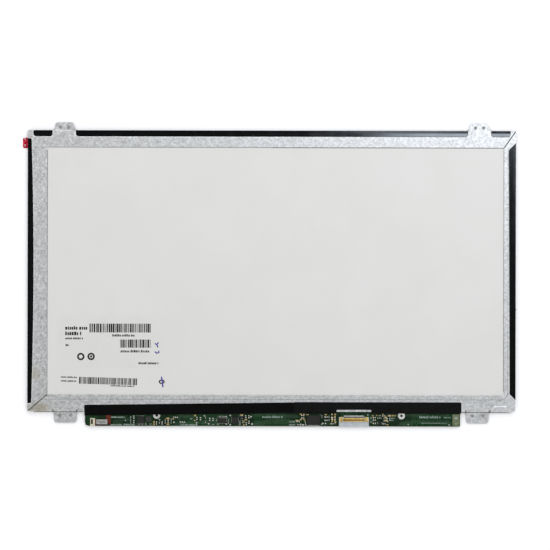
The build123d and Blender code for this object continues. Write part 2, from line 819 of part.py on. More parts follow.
# Driver chips on the glass ledge, and the films from there to the board's front face
driver_chip_top = color_bottom - driver_chip_gap
film_bond_top = array_bottom + driver_film_bond
for number in range(driver_count):
    driver_x = board_middle + (number - (driver_count - 1) / 2) * driver_pitch
    with BuildPart() as driver_chip:
        with Locations((driver_x, driver_chip_top, array_glass_z)):
            Box(
                driver_chip_length, driver_chip_width, driver_chip_height,
                align=(Align.CENTER, Align.MAX, Align.MAX),
            )
    finish(driver_chip, f"driver_chip_{number + 1}")
    with BuildPart() as driver_film:
        with BuildSketch(Plane.YZ.offset(driver_x - driver_film_width / 2)):
            add(sloping_strip(
                film_bond_top, array_bottom - glass_clearance, board_top - glass_clearance,
                board_top - driver_film_overlap, array_glass_z - driver_film_thickness,
                board_z - driver_film_thickness, driver_film_thickness,
            ))
        extrude(amount=driver_film_width)
    finish(driver_film, f"driver_film_{number + 1}")

# Front cover tape, from the glass edge over the films to the board's outer edge
with BuildPart() as front_cover_tape:
    with BuildSketch(Plane.YZ.offset(board_left + front_tape_inset)):
        add(sloping_strip(
            polarizer_bottom - glass_clearance, array_bottom, board_top - 2 * glass_clearance,
            board_bottom + front_tape_inset, color_glass_z - tape_thickness,
            board_z - driver_film_thickness - tape_thickness, tape_thickness,
        ))
    extrude(amount=board_right - board_left - 2 * front_tape_inset)
finish(front_cover_tape, "front_cover_tape")

# Rear cover tapes, from the steel over its folded edge to the board
tape_left = board_left - tape_left_overhang
tape_right = board_right + tape_right_overhang
tape_join = board_middle + tape_split
tape_profile = sloping_strip(
    bottom + window_bottom, bottom - flange_clearance, bottom - tape_slope, board_bottom,
    plate_rear_z, board_rear_z + tape_lift, tape_thickness,
)
with BuildPart() as rear_tape_left:
    with BuildSketch(Plane.YZ.offset(tape_left)):
        add(tape_profile)
    extrude(amount=tape_join - tape_butt_gap - tape_left)
    with BuildSketch(Plane.XY.offset(board_rear_z)) as left_tape_plan:
        with BuildLine():
            Polyline(
                (tape_left, bottom + left_tape_low),
                (tape_join - tape_butt_gap, bottom + left_tape_high),
                (tape_join - tape_butt_gap, bottom + left_tape_high - left_tape_width),
                (tape_left, bottom + left_tape_low - left_tape_width), close=True,
            )
        make_face()
        fillet(left_tape_plan.vertices().group_by(Axis.X)[0].sort_by(Axis.Y)[-1], tape_corner)
    extrude(amount=plate_rear_z - board_rear_z + 2 * tape_thickness, mode=Mode.INTERSECT)
finish(rear_tape_left, "rear_tape_left")

with BuildPart() as rear_tape_right:
    with BuildSketch(Plane.YZ.offset(tape_join)):
        add(tape_profile)
    extrude(amount=tape_right - tape_join)
    with BuildSketch(Plane.XY.offset(board_rear_z)) as right_tape_plan:
        add(edge_rectangle(tape_join, tape_right, bottom - right_tape_reach, bottom + right_tape_high))
        fillet(right_tape_plan.vertices().group_by(Axis.X)[-1].sort_by(Axis.Y)[-1], tape_corner)
        notch_half = connector_width / 2 + tape_notch_margin
        add(edge_rectangle(
            connector_x - notch_half, connector_x + notch_half, board_bottom, bottom + tape_notch_height,
        ), mode=Mode.SUBTRACT)
    extrude(amount=plate_rear_z - board_rear_z + 2 * tape_thickness, mode=Mode.INTERSECT)
finish(rear_tape_right, "rear_tape_right")

# Board connector: insulating housing, plated shell and a row of contacts
tongue_top = tongue_bottom + tongue_thickness
block_front = connector_rear - shell_depth
with BuildPart() as connector_housing:
    with BuildSketch(Plane.YZ.offset(connector_x - connector_width / 2)):
        add(edge_rectangle(connector_front, connector_rear, board_rear_z, board_rear_z + connector_floor))
    extrude(amount=connector_width)
    with BuildSketch(Plane.YZ.offset(connector_x - connector_width / 2 + connector_wall_inset)):
        add(edge_rectangle(
            connector_rear - connector_rear_wall, connector_rear,
            board_rear_z, board_rear_z + connector_height - shell_thickness,
        ))
        add(edge_rectangle(
            connector_rear - connector_rear_wall - tongue_reach, connector_rear,
            board_rear_z + tongue_bottom, board_rear_z + tongue_top,
        ))
    extrude(amount=connector_width - 2 * connector_wall_inset)
    for side in (-1, 1):
        block_x = connector_x + side * (connector_width - connector_end_block) / 2
        with BuildSketch(Plane.XY.offset(board_rear_z)):
            with Locations((block_x, (block_front + connector_rear) / 2)):
                Rectangle(connector_end_block, connector_rear - block_front)
        extrude(amount=connector_block_height)
        rail_x = connector_x + side * (connector_width - connector_rail_width) / 2
        with BuildSketch(Plane.XY.offset(board_rear_z)):
            with Locations((rail_x, (connector_front + block_front) / 2)):
                Rectangle(connector_rail_width, block_front - connector_front)
        extrude(amount=connector_rail_height)
    with BuildSketch(Plane.XZ.offset(-connector_rear)):
        with Locations((connector_x, board_rear_z + tongue_top + contact_thickness)):
            with GridLocations(contact_pitch, 0, contact_count, 1):
                Rectangle(contact_width + 2 * contact_slot_clearance, 2 * contact_thickness)
    extrude(amount=connector_rear_wall, mode=Mode.SUBTRACT)
finish(connector_housing, "connector_housing")

shell_left = connector_x - connector_width / 2
shell_top = board_rear_z + connector_height - shell_thickness
with BuildPart() as connector_shell:
    with BuildSketch(Plane.YZ.offset(shell_left)):
        add(sloping_strip(
            connector_rear, connector_rear - shell_flat, block_front + shell_lip, block_front,
            shell_top, shell_top - shell_fall, shell_thickness,
        ))
    extrude(amount=connector_width)
    collar_y = connector_rear - shell_depth / 2
    with BuildSketch(Plane.XY.offset(board_rear_z + connector_block_height)):
        with Locations((connector_x, collar_y)):
            with GridLocations(connector_width - 2 * shell_collar_inset, 0, 2, 1):
                Circle(shell_collar_diameter / 2)
    extrude(amount=connector_height - connector_block_height)
    with BuildSketch(Plane.XY.offset(board_rear_z + connector_block_height)):
        with Locations((connector_x, collar_y)):
            with GridLocations(connector_width - 2 * shell_collar_inset, 0, 2, 1):
                Circle(shell_hole_diameter / 2)
    extrude(amount=connector_height, mode=Mode.SUBTRACT)
finish(connector_shell, "connector_shell")

with BuildPart() as connector_contacts:
    riser_y = connector_rear + contact_thickness
    blade_z = board_rear_z + tongue_top + contact_thickness
    for number in range(contact_count):
        contact_x = connector_x + (number - (contact_count - 1) / 2) * contact_pitch
        with BuildSketch(Plane.YZ.offset(contact_x - contact_width / 2)):
            with BuildLine():
                Polyline(
                    (riser_y + contact_tail, board_rear_z + contact_thickness / 2),
                    (riser_y, board_rear_z + contact_thickness / 2),
                    (riser_y, blade_z),
                    (connector_rear - connector_rear_wall - tongue_reach, blade_z),
                )
            trace(line_width=contact_thickness)
        extrude(amount=contact_width)
finish(connector_contacts, "connector_contacts")


# Moulded chip with bevelled top edges and a round mark at the first terminal
def chip_package(name, x, y, length, width, height):
    with BuildPart() as chip:
        with Locations((x, y, board_rear_z)):
            Box(length, width, height, align=(Align.CENTER, Align.CENTER, Align.MIN))
        chamfer(chip.faces().sort_by(Axis.Z)[-1].edges(), chip_chamfer)
        dot_place = (x - length / 2 + chip_dot_inset, y - width / 2 + chip_dot_inset, board_rear_z + height)
        with Locations(dot_place):
            Cylinder(chip_dot_diameter / 2, 2 * chip_dot_depth, mode=Mode.SUBTRACT)
    finish(chip, name)


for name, (along, edge, length, width, height) in left_chips.items():
    chip_package(name, board_left + along, board_bottom + edge, length, width, height)
for name, (along, edge, length, width, height) in middle_chips.items():
    chip_package(name, board_middle + along, board_bottom + edge, length, width, height)

with BuildPart() as power_inductor:
    inductor_along, inductor_edge = inductor_place
    with BuildSketch(Plane.XY.offset(board_rear_z)):
        with Locations((board_left + inductor_along, board_bottom + inductor_edge)):
            RectangleRounded(inductor_length, inductor_width, inductor_corner)
    extrude(amount=inductor_height)
    with BuildSketch(Plane.XY.offset(board_rear_z + inductor_height - inductor_core_depth)):
        with Locations((board_left + inductor_along, board_bottom + inductor_edge)):
            Circle(inductor_core_diameter / 2)
    extrude(amount=inductor_core_depth, mode=Mode.SUBTRACT)
finish(power_inductor, "power_inductor")


# Places of small parts on the board, from those that count from its left end and from its middle
def board_places(left_places, middle_places):
    places = [(board_left + along, edge, turn) for along, edge, turn in left_places]
    places += [(board_middle + along, edge, turn) for along, edge, turn in middle_places]
    return [Location((x, board_bottom + edge, board_rear_z), (0, 0, turn)) for x, edge, turn in places]


def small_parts(name, places, height, tiny_places, tiny_height):
    seated = (Align.CENTER, Align.CENTER, Align.MIN)
    with BuildPart() as parts:
        with Locations(*places):
            Box(small_part_length, small_part_width, height, align=seated)
        with Locations(*tiny_places):
            Box(tiny_part_length, tiny_part_width, tiny_height, align=seated)
    finish(parts, name)


small_parts(
    "chip_capacitors", board_places(left_capacitors, middle_capacitors), capacitor_height,
    board_places(left_tiny_capacitors, middle_tiny_capacitors), tiny_capacitor_height,
)
small_parts(
    "chip_resistors", board_places(left_resistors, middle_resistors), resistor_height,
    board_places(left_tiny_resistors, middle_tiny_resistors), tiny_resistor_height,
)

# Socket that the flex tail plugs into, with its mouth towards the tail
socket_y = tail_foot_bottom + tail_foot_width / 2
with BuildPart() as backlight_socket:
    socket_right = foot_left + socket_mouth_depth - socket_clearance
    with Locations((socket_right - socket_length / 2, socket_y, board_rear_z)):
        Box(socket_length, socket_width, socket_height, align=(Align.CENTER, Align.CENTER, Align.MIN))
    with Locations((socket_right - socket_mouth_depth / 2, socket_y, board_rear_z)):
        Box(
            socket_mouth_depth, tail_foot_width + 2 * socket_clearance, 2 * socket_mouth_height,
            mode=Mode.SUBTRACT,
        )
    with Locations((socket_right - socket_length, socket_y, board_rear_z + socket_height)):
        Box(
            2 * socket_recess_length, socket_recess_width, 2 * socket_recess_depth, mode=Mode.SUBTRACT,
        )
finish(backlight_socket, "backlight_socket")

with BuildPart() as board_sticker:
    sticker_x = tail_x - tail_width / 2 - sticker_gap / 2 - sticker_length / 2
    with Locations((sticker_x, socket_y, board_rear_z + flex_thickness)):
        Box(
            sticker_length, sticker_width, sticker_thickness,
            align=(Align.CENTER, Align.CENTER, Align.MIN),
        )
finish(board_sticker, "board_sticker")
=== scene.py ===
import bpy
import bmesh
import math
import random
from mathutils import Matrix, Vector


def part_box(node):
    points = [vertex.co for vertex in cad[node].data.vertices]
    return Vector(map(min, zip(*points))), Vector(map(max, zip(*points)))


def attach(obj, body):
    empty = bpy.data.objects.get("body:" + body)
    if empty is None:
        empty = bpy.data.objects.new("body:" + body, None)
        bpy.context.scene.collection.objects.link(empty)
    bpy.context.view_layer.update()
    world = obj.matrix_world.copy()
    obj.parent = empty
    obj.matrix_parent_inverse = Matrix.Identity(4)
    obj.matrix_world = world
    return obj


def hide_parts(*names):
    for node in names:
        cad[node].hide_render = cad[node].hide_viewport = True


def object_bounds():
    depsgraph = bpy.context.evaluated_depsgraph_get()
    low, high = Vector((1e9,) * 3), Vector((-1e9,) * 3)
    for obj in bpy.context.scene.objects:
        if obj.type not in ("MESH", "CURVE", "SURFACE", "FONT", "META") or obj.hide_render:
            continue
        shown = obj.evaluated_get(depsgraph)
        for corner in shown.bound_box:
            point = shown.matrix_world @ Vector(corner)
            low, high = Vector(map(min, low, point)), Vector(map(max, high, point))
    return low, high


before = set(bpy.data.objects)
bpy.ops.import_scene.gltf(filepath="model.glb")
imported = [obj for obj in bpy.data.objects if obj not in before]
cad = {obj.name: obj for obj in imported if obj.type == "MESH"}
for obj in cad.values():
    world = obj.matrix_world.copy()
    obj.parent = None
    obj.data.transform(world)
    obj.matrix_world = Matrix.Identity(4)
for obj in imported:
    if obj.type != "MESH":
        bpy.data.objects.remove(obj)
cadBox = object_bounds()
scene = bpy.context.scene
scene.view_settings.view_transform = "Standard"
mm = 0.001
print("frame loaded:", len(cad), "nodes")


def paint(red, green, blue):  # a colour as a paint chart gives it, 0 to 255
    parts = [value / 255 for value in (red, green, blue)]
    return tuple(p / 12.92 if p < 0.04045 else ((p + 0.055) / 1.055) ** 2.4 for p in parts) + (1.0,)


# Camera straight above the rear, turned a hair as in the photograph

cameraSet = dict(width=404.9 * mm, aim=(2.46 * mm, -2.82 * mm), height=1.0, roll=0.0022, sensor=36.0)


def placeCamera(settings):
    data = bpy.data.cameras.new("productCamera")
    data.sensor_width = settings["sensor"]
    data.lens = settings["sensor"] * settings["height"] / settings["width"]
    camera = bpy.data.objects.new("productCamera", data)
    camera.location = (*settings["aim"], cadBox[1].z + settings["height"])
    camera.rotation_euler = (0, 0, settings["roll"])
    scene.collection.objects.link(camera)
    scene.camera = camera


placeCamera(cameraSet)


# Small helpers for node trees

def feed(tree, source, socket):
    if isinstance(source, bpy.types.NodeSocket):
        tree.links.new(source, socket)
    else:
        socket.default_value = source


def feedAll(tree, node, values):
    for key, source in values.items():
        feed(tree, source, node.inputs[key])


def addNode(tree, kind, values=None, **settings):  # values: a socket or a value for each input
    node = tree.nodes.new(kind)
    for key, value in settings.items():
        setattr(node, key, value)
    feedAll(tree, node, values or {})
    return node


def calc(tree, operation, first, second):
    return addNode(tree, "ShaderNodeMath", {0: first, 1: second}, operation=operation).outputs[0]


def remap(tree, source, fromLow, fromHigh, toLow, toHigh):
    names = ("Value", "From Min", "From Max", "To Min", "To Max")
    values = dict(zip(names, (source, fromLow, fromHigh, toLow, toHigh)))
    return addNode(tree, "ShaderNodeMapRange", values).outputs["Result"]


def mixColor(tree, factor, low, high):
    return addNode(tree, "ShaderNodeMix", {0: factor, 6: low, 7: high}, data_type="RGBA").outputs[2]


def newMaterial(name):
    material = bpy.data.materials.new(name)
    material.use_nodes = True
    tree = material.node_tree
    return material, tree, tree.nodes["Principled BSDF"]


# Floor, lamps and sky

floorSet = dict(
    size=16.0, drop=0.05 * mm, color=(243, 243, 244), glow=0.28,
    contact=2.5 * mm, open=(0.35, 0.72), darkest=0.04,  # painted shade: dark under the brackets and in their holes
)


def makeFloor(settings):
    half, low = settings["size"] / 2, cadBox[0].z - settings["drop"]
    corners = [(-half, -half, low), (half, -half, low), (half, half, low), (-half, half, low)]
    mesh = bpy.data.meshes.new("floor")
    mesh.from_pydata(corners, [], [(0, 1, 2, 3)])
    floor = bpy.data.objects.new("floor", mesh)
    scene.collection.objects.link(floor)
    material, tree, shader = newMaterial("floorPaper")
    rays = addNode(tree, "ShaderNodeLightPath").outputs
    seen = calc(tree, "MAXIMUM", rays["Is Camera Ray"], rays["Is Glossy Ray"])
    seen = calc(tree, "MAXIMUM", seen, rays["Is Transmission Ray"])
    # painted shade: ambient occlusion darkens the floor's colour and glow under the brackets and in their
    # holes
    near = addNode(tree, "ShaderNodeAmbientOcclusion", {"Distance": settings["contact"]}, samples=8)
    clear = remap(tree, near.outputs["AO"], *settings["open"], settings["darkest"], 1.0)
    color = mixColor(tree, clear, (0, 0, 0, 1), paint(*settings["color"]))
    feedAll(tree, shader, {"Base Color": color, "Roughness": 1.0, "Specular IOR Level": 0.0})
    strength = calc(tree, "MULTIPLY", calc(tree, "MULTIPLY", seen, clear), settings["glow"])
    glow = addNode(tree, "ShaderNodeEmission", {"Strength": strength})
    both = addNode(tree, "ShaderNodeAddShader", {0: shader.outputs[0], 1: glow.outputs[0]})
    # open from below, so the screen side can be looked at
    below = addNode(tree, "ShaderNodeNewGeometry").outputs["Backfacing"]
    gone = addNode(tree, "ShaderNodeBsdfTransparent").outputs[0]
    under = addNode(tree, "ShaderNodeMixShader", {0: below, 1: both.outputs[0], 2: gone})
    feedAll(tree, tree.nodes["Material Output"], {"Surface": under.outputs[0]})
    mesh.materials.append(material)


coolLight, whiteLight = (0.93, 0.98, 1.08), (1.0, 1.0, 1.0)
lampSet = dict(
    softbox=dict(
        at=(0.40, 0.46, 1.0), aim=(0.40, 0.46, 0.0), size=(0.46, 0.44), strength=5.0, color=coolLight,
    ),
    softEdge=dict(
        at=(0.20, 0.17, 1.0), aim=(0.20, 0.17, 0.0), size=(0.16, 0.14), strength=1.6, color=coolLight,
    ),
    topBank=dict(at=(-0.05, 1.05, 0.80), aim=(0, 0, 0), size=(1.3, 0.35), strength=1.6, color=whiteLight),
    sideFill=dict(at=(-1.0, 0.1, 0.70), aim=(0, 0, 0), size=(0.4, 1.0), strength=0.8, color=whiteLight),
)


def makeLamp(name, settings):
    width, height = settings["size"]
    data = bpy.data.lights.new(name, "AREA")
    data.shape = "RECTANGLE"
    data.size, data.size_y = width, height
    data.energy = settings["strength"] * math.pi * width * height  # strength: the lit face's brightness
    data.color = settings["color"]
    lamp = bpy.data.objects.new(name, data)
    lamp.location = settings["at"]
    look = Vector(settings["aim"]) - Vector(settings["at"])
    lamp.rotation_euler = look.to_track_quat("-Z", "Y").to_euler()
    scene.collection.objects.link(lamp)


# brightness by height, from the horizon to straight above
skySet = {0.0: 0.99, 0.76: 0.86, 0.87: 0.24, 0.91: 0.05, 1.0: 0.04}


def makeSky(settings):
    world = bpy.data.worlds.new("studio")
    world.use_nodes = True
    scene.world = world
    tree = world.node_tree
    spot = addNode(tree, "ShaderNodeTexCoord").outputs["Generated"]
    parts = addNode(tree, "ShaderNodeSeparateXYZ", {0: spot})
    ramp = addNode(tree, "ShaderNodeValToRGB", {0: parts.outputs["Z"]})
    stops = ramp.color_ramp.elements
    for height in list(settings)[1:-1]:
        stops.new(height)
    for stop, level in zip(stops, settings.values()):
        stop.color = (level, level, level, 1)
    feedAll(tree, tree.nodes["Background"], {"Color": ramp.outputs["Color"]})


makeFloor(floorSet)
for lampName, lampValues in lampSet.items():
    makeLamp(lampName, lampValues)
makeSky(skySet)
print("camera, floor, lamps and sky placed")


# Shared shader groups

def newGroup(name, inputs, outputs):  # both: the kind of each socket, by label
    group = bpy.data.node_groups.new(name, "ShaderNodeTree")
    for way, sockets in (("INPUT", inputs), ("OUTPUT", outputs)):
        for label, kind in sockets.items():
            group.interface.new_socket(label, in_out=way, socket_type="NodeSocket" + kind)
    return group, addNode(group, "NodeGroupInput").outputs, addNode(group, "NodeGroupOutput")


def useGroup(tree, group, **values):
    return addNode(tree, "ShaderNodeGroup", values, node_tree=group).outputs


def noise(tree, scale, detail=3.0, roughness=0.55):
    spot = addNode(tree, "ShaderNodeTexCoord").outputs["Object"]
    values = {"Vector": spot, "Scale": scale, "Detail": detail, "Roughness": roughness}
    return addNode(tree, "ShaderNodeTexNoise", values).outputs[0]


# scales are shares of the group's own scale, spreads the part of a noise that is stretched to 0 to 1
cloudDetail = 4.0
grainSet = dict(detail=2.0, broad=0.06, spread=(0.3, 0.7))
crystalSet = dict(
    warp=0.7, warpDetail=2.0, push=1.6 * mm, cloud=0.6, cloudRoughness=0.65, share=0.5, spread=(0.2, 0.8),
)


def makeTwoTone():  # soft cloudy change between two near colours
    group, given, result = newGroup(
        "twoTone", dict(Dark="Color", Light="Color", Scale="Float", Spread="Float"), dict(Color="Color"),
    )
    cloud = noise(group, given["Scale"], cloudDetail)
    low, high = [calc(group, way, 0.5, given["Spread"]) for way in ("SUBTRACT", "ADD")]
    mask = remap(group, cloud, low, high, 0.0, 1.0)
    feedAll(group, result, {"Color": mixColor(group, mask, given["Dark"], given["Light"])})
    return group


def makeFineGrain():  # tiny tooth of a moulded, rolled or printed surface
    group, given, result = newGroup(
        "fineGrain", dict(Scale="Float", Smooth="Float", Rough="Float"),
        dict(Roughness="Float", Height="Float"),
    )
    tooth = noise(group, given["Scale"], grainSet["detail"])
    broad = noise(group, calc(group, "MULTIPLY", given["Scale"], grainSet["broad"]))
    roughness = remap(group, broad, *grainSet["spread"], given["Smooth"], given["Rough"])
    feedAll(group, result, {"Roughness": roughness, "Height": tooth})
    return group


def makeSpangle():  # zinc crystals: flat patches with a random tone each
    group, given, result = newGroup(
        "spangle", dict(Scale="Float", Dark="Color", Light="Color", Smooth="Float", Rough="Float"),
        dict(Color="Color", Roughness="Float", Height="Float"),
    )
    spot = addNode(group, "ShaderNodeTexCoord").outputs["Object"]
    warpScale, cloudScale = [
        calc(group, "MULTIPLY", given["Scale"], crystalSet[key]) for key in ("warp", "cloud")
    ]
    warpValues = {"Detail": crystalSet["warpDetail"], "Scale": warpScale, "Vector": spot}
    warp = addNode(group, "ShaderNodeTexNoise", warpValues)
    pushed = {0: warp.outputs["Color"], "Scale": crystalSet["push"]}
    push = addNode(group, "ShaderNodeVectorMath", pushed, operation="SCALE")
    moved = addNode(group, "ShaderNodeVectorMath", {0: spot, 1: push.outputs[0]}, operation="ADD")
    crystals = {"Randomness": 1.0, "Scale": given["Scale"], "Vector": moved.outputs[0]}
    cells = addNode(group, "ShaderNodeTexVoronoi", crystals)
    parts = addNode(group, "ShaderNodeSeparateColor", {0: cells.outputs["Color"]}).outputs
    cloud = noise(group, cloudScale, cloudDetail, crystalSet["cloudRoughness"])
    shares = [calc(group, "MULTIPLY", source, crystalSet["share"]) for source in (parts[0], cloud)]
    tone = remap(group, calc(group, "ADD", *shares), *crystalSet["spread"], 0.0, 1.0)
    feedAll(group, result, {
        "Color": mixColor(group, tone, given["Dark"], given["Light"]),
        "Roughness": remap(group, parts[1], 0.0, 1.0, given["Smooth"], given["Rough"]),
        "Height": calc(group, "ADD", parts[2], cells.outputs["Distance"]),
    })
    return group


twoTone, fineGrain, spangle = makeTwoTone(), makeFineGrain(), makeSpangle()


def grained(tree, look):
    smooth, rough = look["rough"]
    return useGroup(tree, fineGrain, Scale=look["grain"], Smooth=smooth, Rough=rough)


def bumped(tree, height, distance):
    values = {"Height": height, "Distance": distance * mm, "Strength": 1.0}
    return addNode(tree, "ShaderNodeBump", values).outputs[0]


def spotMask(tree, at, size):  # 1 at a place on the object, fading to 0 at its rim
    move = addNode(tree, "ShaderNodeMapping", vector_type="TEXTURE")
    feedAll(tree, move, {
        "Vector": addNode(tree, "ShaderNodeTexCoord").outputs["Object"],
        "Location": [value * mm for value in at], "Scale": [value * mm for value in size],
    })
    ball = addNode(tree, "ShaderNodeTexGradient", {0: move.outputs[0]}, gradient_type="SPHERICAL")
    return ball.outputs["Fac"]


def plainFinish(name, look):  # moulded, printed, coated and plated surfaces
    material, tree, shader = newMaterial(name)
    tone = useGroup(
        tree, twoTone, Dark=paint(*look["dark"]), Light=paint(*look["light"]), Scale=look["patch"],
        Spread=look.get("spread", 0.2),
    )
    tooth = grained(tree, look)
    feedAll(tree, shader, {
        "Base Color": tone["Color"], "Roughness": tooth["Roughness"],
        "Normal": bumped(tree, tooth["Height"], look["bump"]), **look.get("shader", {}),
    })
    return material


def dress(names, material):
    for name in names.split():
        mesh = cad[name].data
        mesh.materials.clear()
        mesh.materials.append(material)


# Galvanised steel frames

steelLook = dict(
    spangle=900.0, dark=(214, 215, 214), light=(253, 254, 254), rough=(0.46, 0.60), crystal=0.004,
    blotch=700.0, blotchRange=(0.3, 0.7, 0.6, 1.6), fade=(0.05, 0.7),
    # a brownish tint along the lower left fold, then painted highlights on the bend at the lower left and on
    # the bead at the lower right
    tintsAndHighlights=[
        dict(at=(-171.0, -101.0, 3.0), size=(10.0, 5.0, 5.0), color=(186, 172, 140), amount=0.55),
        dict(at=(-174.0, -76.0, 3.0), size=(5.0, 7.0, 5.0), color=(222, 218, 196), amount=0.5),
        dict(at=(168.5, -101.6, 3.5), size=(8.0, 3.5, 3.0), color=(242, 243, 246), amount=0.6),
    ],
)


def galvanised(name, look):
    material, tree, shader = newMaterial(name)
    smooth, rough = look["rough"]
    zinc = useGroup(
        tree, spangle, Scale=look["spangle"], Dark=paint(*look["dark"]), Light=paint(*look["light"]),
        Smooth=smooth, Rough=rough,
    )
    color = zinc["Color"]
    for tintOrHighlight in look["tintsAndHighlights"]:
        spread = spotMask(tree, tintOrHighlight["at"], tintOrHighlight["size"])
        blotches = remap(tree, noise(tree, look["blotch"]), *look["blotchRange"])
        broken = calc(tree, "MULTIPLY", spread, blotches)
        amount = remap(tree, broken, *look["fade"], 0.0, tintOrHighlight["amount"])
        color = mixColor(tree, amount, color, paint(*tintOrHighlight["color"]))
    feedAll(tree, shader, {
        "Base Color": color, "Roughness": zinc["Roughness"], "Metallic": 1.0,
        "Normal": bumped(tree, zinc["Height"], look["crystal"]),
    })
    return material


dress("upper_left_frame lower_right_frame", galvanised("galvanisedSteel", steelLook))

# Circuit board: green lacquer over copper fields

maskLook = dict(
    bare=(14, 40, 20), copper=(27, 60, 32), grain=2500, rough=(0.22, 0.36), bump=0.004,
    field=95.0, loose=0.9, edge=(0.42, 0.5), cloud=240.0, cloudRange=(0.2, 0.8, 0.5, 1.0), step=2.0,
)


def solderMask(name, look):
    material, tree, shader = newMaterial(name)
    spot = addNode(tree, "ShaderNodeTexCoord").outputs["Object"]
    squares = {"Scale": look["field"], "Randomness": look["loose"], "Vector": spot}
    fields = addNode(tree, "ShaderNodeTexVoronoi", squares, distance="CHEBYCHEV")
    parts = addNode(tree, "ShaderNodeSeparateColor", {0: fields.outputs["Color"]})
    copper = remap(tree, parts.outputs[0], *look["edge"], 0.0, 1.0)
    cloud = remap(tree, noise(tree, look["cloud"], cloudDetail), *look["cloudRange"])
    copper = calc(tree, "MULTIPLY", copper, cloud)
    tooth = grained(tree, look)
    height = calc(tree, "ADD", tooth["Height"], calc(tree, "MULTIPLY", copper, look["step"]))
    feedAll(tree, shader, {
        "Base Color": mixColor(tree, copper, paint(*look["bare"]), paint(*look["copper"])),
        "Roughness": tooth["Roughness"], "Normal": bumped(tree, height, look["bump"]),
    })
    return material


dress("circuit_board", solderMask("greenLacquer", maskLook))

# All other nodes, each finish with the nodes it lies on

